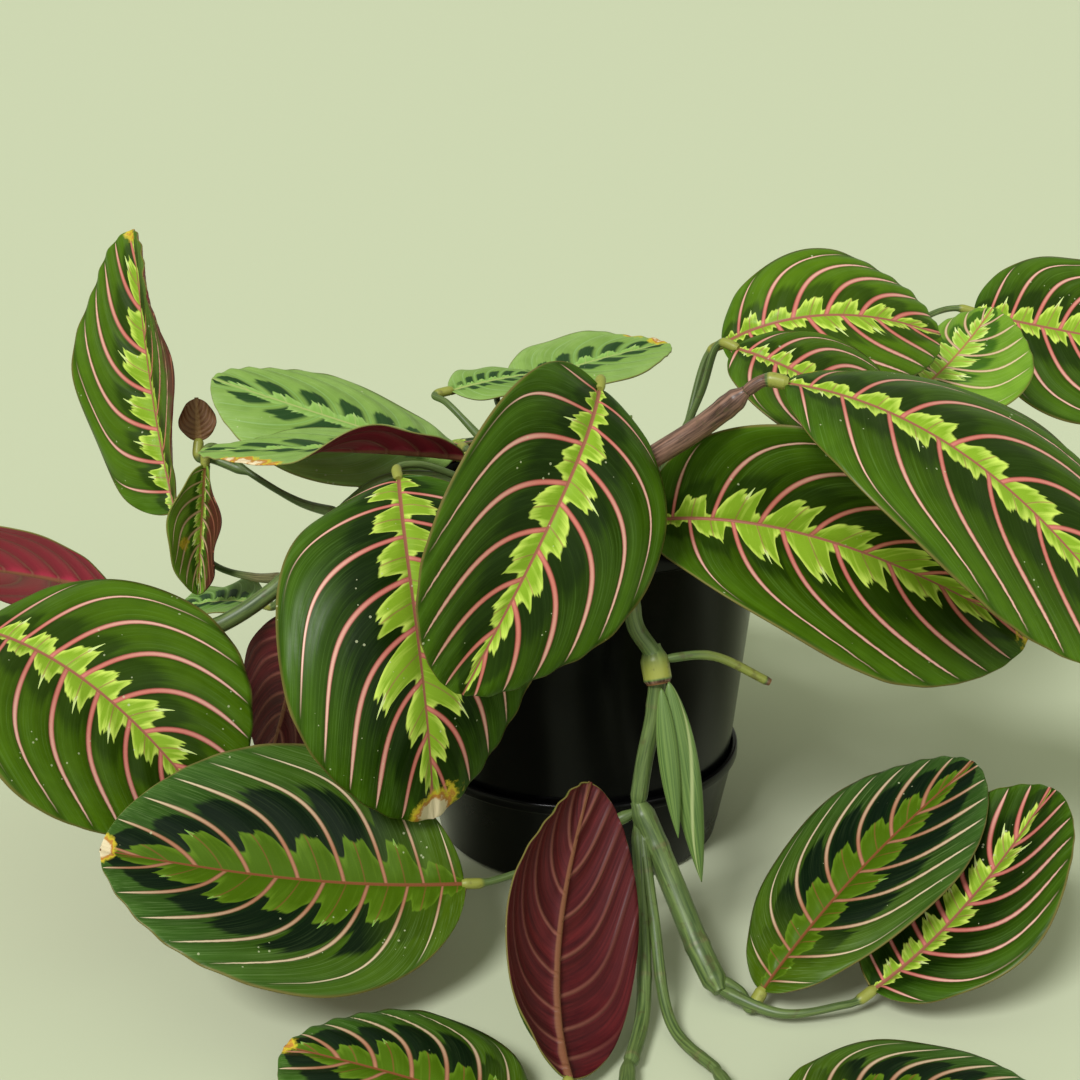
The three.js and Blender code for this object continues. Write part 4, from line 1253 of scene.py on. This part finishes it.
def petiole(name, route, leaf, purple_sheath):
    """A stalk from the cane to the leaf."""
    along = leaf_axes(leaf)[:, 0]
    base = np.array(leaf["base"], float)
    points = [*route, base - PULVINUS_LENGTH * along, base + 0.8 * along]

    def joint(end):
        return smooth_step(PULVINUS_LENGTH + 1.5 - end, 0, 2.5)

    def radius_at(start, end):
        sheath = max(0, 1 - start / SHEATH_LENGTH) * smooth_step(start, 0, 5)
        return (PETIOLE_RADIUS + 0.95 * sheath + 0.5 * joint(end)
                - 0.5 * max(0, 1 - end / 1.2))

    def skin_at(start, end):
        return (purple_sheath * max(0, min(1, 1.7 - start / 22)) * (1 - joint(end))
                - joint(end))

    return stalk(name, points, radius_at, skin_at)


def near_ring(start, width):
    """1 at each of a cane's rings, and close to 0 between them."""
    return sum(math.exp(-((start - (k * RING_SPACING + FIRST_RING)) / width) ** 2)
               for k in range(RING_COUNT))


def cane(name, radius, route, skin, yellows_over):
    """A thick stem with rings. A cut one, whose skin is below 0, yellows over some
    millimetres, and is brown at its very end."""
    def radius_at(start, end):
        if skin < 0:
            drawn_in = 0.82 + 0.18 * smooth_step(end, 0, 1.5)
        else:
            drawn_in = 0.55 + 0.45 * smooth_step(end, 0, 4)
        return (radius * (0.94 + 0.06 * near_ring(start, 1.6)) * drawn_in
                * (0.6 + 0.4 * smooth_step(start, 0, 5)))

    def skin_at(start, end):
        if skin < 0:
            aged = skin * smooth_step(start, 0, yellows_over)
            return 2 - (2 - aged) * smooth_step(end, 0, 2.2)
        return skin + 0.3 * near_ring(start, 1.1)

    return stalk(name, route, radius_at, skin_at)


print("rings on a cane:", RING_COUNT, "at most, one every", RING_SPACING, "mm")

# %% [markdown]
# Some sheaths are more purple than others. Of the canes, one is clasped by an old purple
# sheath, and two were cut. Each shoot's stalks are grown one by one and then joined.

# %% Grow the shoots
def join_as_one(pieces, name):
    """One closed skin from overlapping stalks."""
    whole = pieces[0]
    for other in pieces[1:]:
        select_only(whole)
        union = whole.modifiers.new("union", "BOOLEAN")
        union.operation = "UNION"
        union.solver = "MANIFOLD"
        union.object = other
        bpy.ops.object.modifier_apply(modifier=union.name)
        bpy.data.objects.remove(other)
    whole.name = whole.data.name = name
    whole.data.materials.clear()
    select_only(whole)
    bpy.ops.object.shade_smooth_by_angle(angle=math.radians(50))
    return whole


PURPLE = {"right_over": 1, "right_far": 0.8, "front_centre": 0.4, "left_upright": 0.4,
          "right_high": 0.5}
CANE_SKINS = {("stem_right", 1): (0.95, 1), ("stem_front", 1): (-0.8, 9),
              ("stem_front", 2): (-0.6, 34)}
for shoot_name, shoot in SHOOTS.items():
    pieces = [cane(f"{shoot_name}_cane_{i}", radius, route,
                   *CANE_SKINS.get((shoot_name, i), (0, 1)))
              for i, (radius, route) in enumerate(shoot["canes"])]
    pieces += [petiole(f"{shoot_name}_{leaf}", route, LEAVES[leaf], PURPLE.get(leaf, 0.15))
               for leaf, route in shoot["petioles"].items()]
    whole = join_as_one(pieces, shoot_name.replace("stem", "shoot"))
    finish_piece(whole, shoot_name, "stem", stem_skin)
    print(whole.name, "faces:", len(whole.data.polygons))
bpy.data.objects.remove(rod)

# %% [markdown]
# ## The veins' map
#
# On the real leaf each lateral vein leaves the midrib almost square to it, bends towards
# the tip, and then runs along beside the margin, further in the later it started. With u
# the place along the leaf and y the place across, as a share of the blade's greatest half
# width, a vein that starts at s follows y = (1 - 1.1 s) (1 - exp(-(u - s) / 0.08))
# + 0.3 (u - s), and so the veins' ends stand evenly along the margin. Drawing every vein
# as a line would be one way. Here the formula is solved the other way round, for the s of
# any point, so a smooth map can be painted with as many crisp veins as the leaf has.

# %% Solve for where a vein started
FAN_SLOPE, OUTWARD, RUN = 1.1, 0.3, 0.08


def vein_start(u, y):
    """The s of the vein through each point, by halving an interval."""
    low, high = np.full_like(u, -0.5), u.copy()
    for _ in range(34):
        middle = (low + high) / 2
        gone = u - middle
        there = (1 - FAN_SLOPE * middle) * (1 - np.exp(-gone / RUN)) + OUTWARD * gone
        low = np.where(there > y, middle, low)
        high = np.where(there > y, high, middle)
    return (low + high) / 2


def vein_count(start, total):
    """The count of veins from the base, where they stand closer, and its slope."""
    moved = np.maximum(start, -0.045) + 0.05
    return total * (moved ** 0.75 - 0.05 ** 0.75), total * 0.75 * moved ** -0.25


print("a vein at 0.7 across, halfway along, started at",
      round(float(vein_start(np.array([0.5]), np.array([0.7]))[0]), 2))

# %% [markdown]
# ## One flat blade, then all of them
#
# The blade is modelled once, as a flat sheet with its rows closer at both ends and its
# columns closer beside the midrib, where the groove needs them. Each leaf is a copy whose
# points are carried to the bent, folded and curled surface. On top of that form lie the
# finer ones: a groove along the midrib, a soft quilting between the veins, and a ripple
# along the margin that no two leaves share. A Solidify modifier then gives the blade its
# thickness downwards, most along the midrib, which stands out below as a keel.

# %% The flat sheet
ROWS, COLUMNS = 104, 44
bpy.ops.mesh.primitive_grid_add(x_subdivisions=ROWS, y_subdivisions=COLUMNS, size=2)
sheet = bpy.context.active_object
sheet.name = "flat_blade"
flat = points_of(sheet.data)
SHEET_T = 0.5 - 0.5 * np.cos(np.pi * (flat[:, 0] + 1) / 2)
SHEET_V = np.sign(flat[:, 1]) * np.abs(flat[:, 1]) ** 1.25
print("sheet vertices:", len(flat))

# %% [markdown]
# A blade's plain form has three parts. Its half width gives the outline. Its midrib is a
# line that turns with the bend, summed up from many short steps. Its section is a circular
# arc on each side, which starts with the fold at the midrib and turns by the curl.

# %% The plain form
OVAL_SHIFT = 0.92  # below 1 it puts the widest place nearer the base
OVAL_POWER = 0.55  # 1 gives a pointed lens, and 0 a rectangle
MIDRIB_STEPS = 160


def half_width(leaf, t):
    """Half the blade's width in millimetres: a full oval, widest just before its middle."""
    oval = np.sin(np.pi * np.clip(t, 0, 1) ** OVAL_SHIFT)
    oval = np.clip(oval, 0, None) ** OVAL_POWER
    return np.maximum(1.2 - 0.5 * t, oval * leaf["width"] / 2)


def midrib_line(leaf):
    """Points along the midrib, in the leaf's own directions."""
    t = np.linspace(0, 1, MIDRIB_STEPS + 1)
    forward = np.stack([bend(leaf, (a + b) / 2)[:, 0] for a, b in zip(t, t[1:])])
    steps = forward * leaf["length"] / MIDRIB_STEPS
    return t, np.concatenate([np.zeros((1, 3)), np.cumsum(steps, axis=0)])


def section(leaf, half, v, folded_more):
    """Across the blade: out from the midrib, height above it, and the slope there."""
    left = v >= 0
    fold = np.radians(np.where(left, leaf["fold"][0], leaf["fold"][1]) + folded_more)
    curl = np.radians(np.where(left, leaf["curl"][0], leaf["curl"][1]) + 1e-3)
    slope = fold + curl * np.abs(v)
    out = half * (np.sin(slope) - np.sin(fold)) / curl
    height = half * (np.cos(fold) - np.cos(slope)) / curl
    return out, height, slope


def placed_points(leaf, half, lift, cupped):
    """Carries the sheet's points to the leaf's place in the part, in millimetres."""
    out, height, slope = section(leaf, half, SHEET_V, cupped)
    side = np.where(SHEET_V < 0, -1, 1)
    local = np.stack([np.zeros_like(SHEET_T), side * (out - lift * np.sin(slope)),
                      height + lift * np.cos(slope)], axis=1)
    line_t, line = midrib_line(leaf)
    centre = np.stack([np.interp(SHEET_T, line_t, line[:, k]) for k in range(3)], axis=1)
    rows, row_of = np.unique(SHEET_T.round(6), return_inverse=True)
    bends = np.stack([bend(leaf, row) for row in rows])[row_of]
    placed = centre + np.einsum("nij,nj->ni", bends, local)
    return placed @ leaf_axes(leaf).T + np.array(leaf["base"])


print("the front leaf is", LEAVES["front_centre"]["width"], "mm wide, and",
      round(2 * float(half_width(LEAVES["front_centre"], 0.9))), "mm near its tip")

# %% [markdown]
# The vein map needs two things at each point: the count itself, and how fast it changes
# over a millimetre. The second is the length of the count's slope, along and across the
# blade, which follows from the same formula by the rule for an implicit function.

# %% The veins of one blade
VEINS_A_SIDE = 8.4  # about: each leaf adds a little of its own


def blade_veins(leaf, half, chance):
    """The vein count at each point of the sheet, and how fast it rises per millimetre."""
    widest = leaf["width"] / 2
    start = vein_start(SHEET_T, np.abs(SHEET_V) * half / widest)
    total = VEINS_A_SIDE + chance.uniform(-0.4, 0.6)
    count, count_slope = vein_count(start, total)
    growth = np.exp(-(SHEET_T - start) / RUN)
    by_along = (1 - FAN_SLOPE * start) * growth / RUN + OUTWARD
    by_start = -FAN_SLOPE * (1 - growth) - by_along
    count_across = count_slope / by_start / widest
    count_along = count_slope * by_along / by_start / leaf["length"]
    return count, np.clip(np.hypot(count_across, count_along), 0.03, 1.4)


print("veins on each side of a blade: about", round(VEINS_A_SIDE))

# %% [markdown]
# The fine relief is drawn from the same maps, so the quilting swells between the painted
# veins. Sines with random lengths make the ripple, and each side has its own phase. Where
# the veins stand too close for the sheet's rows, the quilting fades out.

# %% Fine relief and spots
WAVES = 3


def random_wave(chance, slow, fast):
    """A sine along the blade, a little out of step on its two sides."""
    return np.sin(chance.uniform(slow, fast) * SHEET_T + chance.uniform(0, 6.3)
                  + np.sign(SHEET_V) * chance.uniform(0, 2))


def fine_relief(half, count, rise, waviness, chance):
    """Millimetres above the plain form: a midrib groove, quilting and a rippled margin.
    The count comes with its phase, which stands the veins of the two sides apart."""
    t, reach = SHEET_T, np.abs(SHEET_V)
    groove = -0.55 * np.exp(-(reach * half / 1.3) ** 2) * (1 - t) ** 0.5
    quilt = -0.42 * np.cos(math.tau * count) * smooth_step(reach, 0.03, 0.15)
    quilt *= (1 - smooth_step(rise, 0.14, 0.28)) * smooth_step(t, 0.02, 0.1)
    waves = sum(chance.uniform(0.3, 1) * random_wave(chance, 5, 15) for _ in range(WAVES))
    ripple = 0.8 * waviness * waves * reach ** 3 * smooth_step(1 - t, 0, 0.2)
    return 0.3 + groove + quilt + ripple


def sum_of_spots(leaf, spots, t, across):
    """The strength of a leaf's spots at each point. They fade out at 1.3 times their radius."""
    total = np.zeros_like(t)
    for spot_t, spot_v, size, strength in spots:
        away = np.hypot((t - spot_t) * leaf["length"], across - spot_v * leaf["width"] / 2)
        total = np.maximum(total, strength * np.clip(1.3 - away / size, 0, 1))
    return total


print("the ripple is the sum of", WAVES, "sines")

# %% [markdown]
# The maps are stored at the faces' corners, because the two sides of the midrib differ:
# each side's veins have a phase of their own. The Solidify modifier's vertex group thins
# the blade away from its keel.

# %% Maps and thickness
KEEL_THICKNESS, THIN_SHARE = 1.5, 0.3


def write_blade_maps(mesh, number, values, phases):
    """Stores the four maps. Values are t, v, half width, count, rise, lobes and the share of
    painted light.
    """
    t, v, half, count, rise, lobes, light = values
    corners = np.empty(len(mesh.loops), int)
    mesh.loops.foreach_get("vertex_index", corners)
    middle = np.empty(len(mesh.polygons) * 3)
    sheet.data.polygons.foreach_get("center", middle)
    on_left = np.repeat(middle.reshape(-1, 3)[:, 1] > 0, 4)
    phase = np.where(on_left, *phases)
    everywhere = np.ones(len(corners))
    maps = {
        "blade": (t[corners], v[corners]),
        "veins": (count[corners] + phase, rise[corners]),
        "measure": ((np.abs(v) * half)[corners], number * everywhere),
        "character": (lobes * everywhere, light * everywhere),
    }
    mesh.uv_layers[0].name = "blade"
    for layer, (x, y) in maps.items():
        if layer != "blade":
            mesh.uv_layers.new(name=layer)
        mesh.uv_layers[layer].data.foreach_set("uv", np.stack([x, y], axis=1).ravel())


def thicken(blade, keel_weight):
    """Gives the blade its thickness downwards: all of it where the keel's weight is 1."""
    keel = blade.vertex_groups.new(name="keel")
    for index, value in enumerate(keel_weight):
        if value > 0.02:
            keel.add([index], float(value), "REPLACE")
    select_only(blade)
    solid = blade.modifiers.new("thickness", "SOLIDIFY")
    solid.thickness = KEEL_THICKNESS * MM
    solid.offset = -1
    solid.vertex_group = "keel"
    solid.thickness_vertex_group = THIN_SHARE
    solid.material_offset = 1
    solid.material_offset_rim = 0
    bpy.ops.object.modifier_apply(modifier=solid.name)
    blade.vertex_groups.clear()
    bpy.ops.object.shade_smooth()


print("a blade is", KEEL_THICKNESS, "mm thick at its keel and",
      round(KEEL_THICKNESS * THIN_SHARE, 2), "mm elsewhere")

# %% [markdown]
# Now one blade can be grown from its row in the table: its copy of the sheet is carried
# to its place, gets its maps, and is thickened downwards with a finish on each face. The
# draws of chance come in a fixed order from a seed of its own, so it always grows alike.

# %% Grow one blade
def grow_blade(name, leaf, number, marks, upper, under):
    """A copy of the sheet in the leaf's place, with its maps and a finish on each side."""
    chance = random.Random(number * 7 + 3)
    t, v, reach = SHEET_T, SHEET_V, np.abs(SHEET_V)
    half = half_width(leaf, t)
    count, rise = blade_veins(leaf, half, chance)
    phases = (chance.uniform(0.1, 0.4), chance.uniform(0.55, 0.9))
    lift = fine_relief(half, count + np.where(v >= 0, *phases), rise,
                       marks.get("waves", 1), chance)
    uneven = sum(random_wave(chance, 4, 11) for _ in range(WAVES))
    uneven = 1 + 0.012 * uneven * reach * smooth_step(1 - t, 0, 0.25)
    side, degrees, over = marks.get("cupped", (1, 0, 1))
    cupped = degrees * (side * v > 0) * (1 - smooth_step(t, 0.4 * over, over))

    blade = copy_of(sheet, name)
    place_points(blade.data, placed_points(leaf, half * uneven, lift, cupped) * MM)
    blade.data.materials.append(upper)
    blade.data.materials.append(under)
    values = (t, v, half, count, rise, marks.get("lobes", 1), marks.get("light", 0.1))
    write_blade_maps(blade.data, number, values, phases)
    for kind in ("dry", "blush_and_shade"):
        spots = sum_of_spots(leaf, marks.get(kind, []), t, v * half)
        write_attribute(blade.data, kind, spots)
    thicken(blade, np.exp(-(reach * half) ** 2) * (1 - t) ** 0.6)
    return blade


print("a blade's points before it is thickened:", len(SHEET_T))

# %% [markdown]
# No two leaves have lived the same life. Some have a broad band and some a narrow one, and the
# oldest have dry tips and spots. Each leaf's light share paints light into its colour: more on
# those in the sun, none on those in shade.
# A spot has its place along and across the blade, its radius in millimetres, and a
# strength: up to 0.4 it is only yellowed, up to 0.6 tan, and above that papery white.

# %% What marks each leaf
MARKS = {
    "front_centre": dict(lobes=0.6, light=0.12),
    "front_left": dict(lobes=1.2, light=0.0, dry=[(0.985, 0.0, 8, 1.0), (0.95, 0.1, 7, 0.45)]),
    "right_wide": dict(lobes=1.05, light=0.25, dry=[(1.0, 0.0, 7, 0.42)]),
    "right_over": dict(lobes=0.5, light=0.25, dry=[(0.03, 0.3, 4, 0.55)]),
    "right_high": dict(lobes=0.7, light=0.75),
    "right_inner": dict(lobes=0.5, light=0.4),
    "right_young": dict(lobes=0.8, light=0.5),
    "right_far": dict(lobes=0.7, light=0.25),
    "top_pale": dict(light=0.5, dry=[(0.98, 0.15, 5, 0.62), (0.9, 0.5, 4, 0.6)]),
    "top_small": dict(light=0.4),
    "middle_pale": dict(light=0.5),
    "middle_flat": dict(light=0.5, cupped=(1, 35, 0.6), dry=[(0.66, 0.9, 4, 0.5),
                        (0.72, 0.8, 5, 0.7), (0.78, 0.7, 5, 0.8), (0.84, 0.6, 4, 0.7),
                        (0.5, -0.1, 3, 0.6)]),
    # left_upright's blush strip is painted shade on the half that folds away from the light.
    "left_upright": dict(lobes=0.75, light=0.5, waves=2.2, cupped=(-1, 8, 3.0),
                         dry=[(1.0, 0.0, 5, 0.5)],
                         blush_and_shade=[(k / 10, -1, 12, 0.65) for k in range(3, 11)]),
    "left_folded": dict(light=0.4, lobes=0.5, waves=2, dry=[(0.6, -0.5, 3, 0.45)],
                        blush_and_shade=[(k / 10, 0.75, 10, 0.9) for k in range(3, 11)]),
    "left_big": dict(lobes=0.6, light=0.45, dry=[(0.75, -0.95, 5, 0.36)]),
    "left_small": dict(light=0.1),
    "left_turned": dict(light=0.75),
    "left_shaded": dict(light=0.0),
    "low_turned": dict(light=0.0, dry=[(0.6, 0.02, 3, 0.62)]),
    "low_left": dict(lobes=1.0, light=0.12, dry=[(1.0, 0.0, 4.5, 1.0)]),
    "low_right": dict(lobes=0.7, light=0.0),
    "low_far_right": dict(lobes=0.6, light=0.0),
    "low_front": dict(lobes=0.9, light=0.2, dry=[(1.0, 0.0, 4, 0.5)]),
}
print("leaves with marks of their own:", len(MARKS))

# %% [markdown]
# Everything is ready: each row of the table becomes a blade, with the finishes of its kind.

# %% Grow all the blades
SLOTS = {"red": "leaf_red_veined", "cream": "leaf_cream_veined", "pale": "leaf_pale",
         "young": "leaf_young", "dry": "leaf_dry"}
for number, (leaf_name, leaf) in enumerate(LEAVES.items()):
    look = leaf["look"]
    upper = dried_leaf if look == "dry" else uppers[look]
    under = {"dry": dried_leaf, "young": green_underside}.get(look, wine_underside)
    blade = grow_blade("blade_" + leaf_name, leaf, number, MARKS.get(leaf_name, {}), upper, under)
    finish_piece(blade, "leaf_" + leaf_name, SLOTS[look])
bpy.data.objects.remove(sheet)
print("blades:", len(LEAVES), "with", len(blade.data.polygons), "faces each")

# %% [markdown]
# ## The new leaf
#
# A new leaf comes out rolled up like a scroll, beside the older sheath that held it. Each
# is made like a stalk, from an unrolled sheet: the sheet is rolled round a straight axis,
# swells and narrows to a point, and is pressed flat. The roll is a little wider at one
# long edge than at the other, so the edge stands out as a ridge that winds down the leaf.

# %% Roll up a leaf
ROLL_RINGS, ROLL_SIDES = 60, 48


def scroll(name, top, tip, size, flatness, winding):
    """A rolled blade between two points, in millimetres."""
    axis = np.array(tip, float) - np.array(top)
    length = float(np.linalg.norm(axis))
    down = axis / length
    across = np.cross(down, (0, 1, 0))
    across /= np.linalg.norm(across)
    front = np.cross(down, across)
    bpy.ops.mesh.primitive_grid_add(x_subdivisions=ROLL_RINGS, y_subdivisions=ROLL_SIDES, size=2)
    piece = bpy.context.active_object
    piece.name = piece.data.name = name
    flat = points_of(piece.data)
    t, angle = (flat[:, 0] + 1) / 2, math.pi * flat[:, 1]
    swell = np.maximum(0.04, np.sin(np.pi * t ** 0.8).clip(0) ** 0.8)
    turn = (angle / math.tau - winding * t) % 1
    ridge = 0.86 + 0.16 * smooth_step(turn, 0.1, 0.92) * (1 - smooth_step(turn, 0.94, 1))
    radius = size * swell * ridge
    placed = (np.array(top) + down * (t * length)[:, None]
              + across * (radius * np.cos(angle))[:, None]
              + front * (flatness * radius * np.sin(angle))[:, None])
    place_points(piece.data, placed * MM)
    stretch_grain(piece.data, length)
    edge = np.exp(-(np.minimum(turn, 1 - turn) / 0.035) ** 2)
    write_attribute(piece.data, "ridge", edge)
    close_tube(piece)
    bpy.ops.object.shade_smooth()
    return piece


spear = scroll("rolled_new_leaf", (24.7, -83.7, 88.2), (35, -97, 29), 4.9, 0.6, 0.35)
sheath = scroll("old_sheath", (22.4, -85.8, 87), (27.6, -97.6, 44), 3.4, 0.6, -0.3)
select_only(spear)
sheath.select_set(True)
bpy.ops.object.join()
print("spear faces:", len(spear.data.polygons))

# %% [markdown]
# It is green outside, with fine lines along it and a paler edge where the ridge is.

# %% The rolled leaf's finish
rolled, tree, shader = new_material("rolled_leaf_outside")
lines = long_streaks(tree, along=0.003, scale=5.0, roughness=0.7)
colour = tinted(tree, "#3f5c28", "#6f8846", lines, 0.34, 0.66)
ridge = node(tree, "Attribute", attribute_name="ridge", out=2)
colour = tinted(tree, colour, "#b3bd84", ridge, 0.5, 0.95, 0.7)
set_shader(shader, Base_Color=colour, Roughness=0.42, IOR=LEAF_IOR,
           Normal=node(tree, "Bump", 0.4, 0.0005, 1.0, lines))
finish_piece(spear, "leaf_new_rolled", "leaf_young", rolled)
print("finished:", spear.name)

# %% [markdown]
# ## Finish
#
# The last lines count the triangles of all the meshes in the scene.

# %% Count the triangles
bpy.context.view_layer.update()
total = sum(len(o.data.loop_triangles) or sum(len(p.vertices) - 2 for p in o.data.polygons)
            for o in scene.objects if o.type == "MESH")
print("triangles in all:", total)
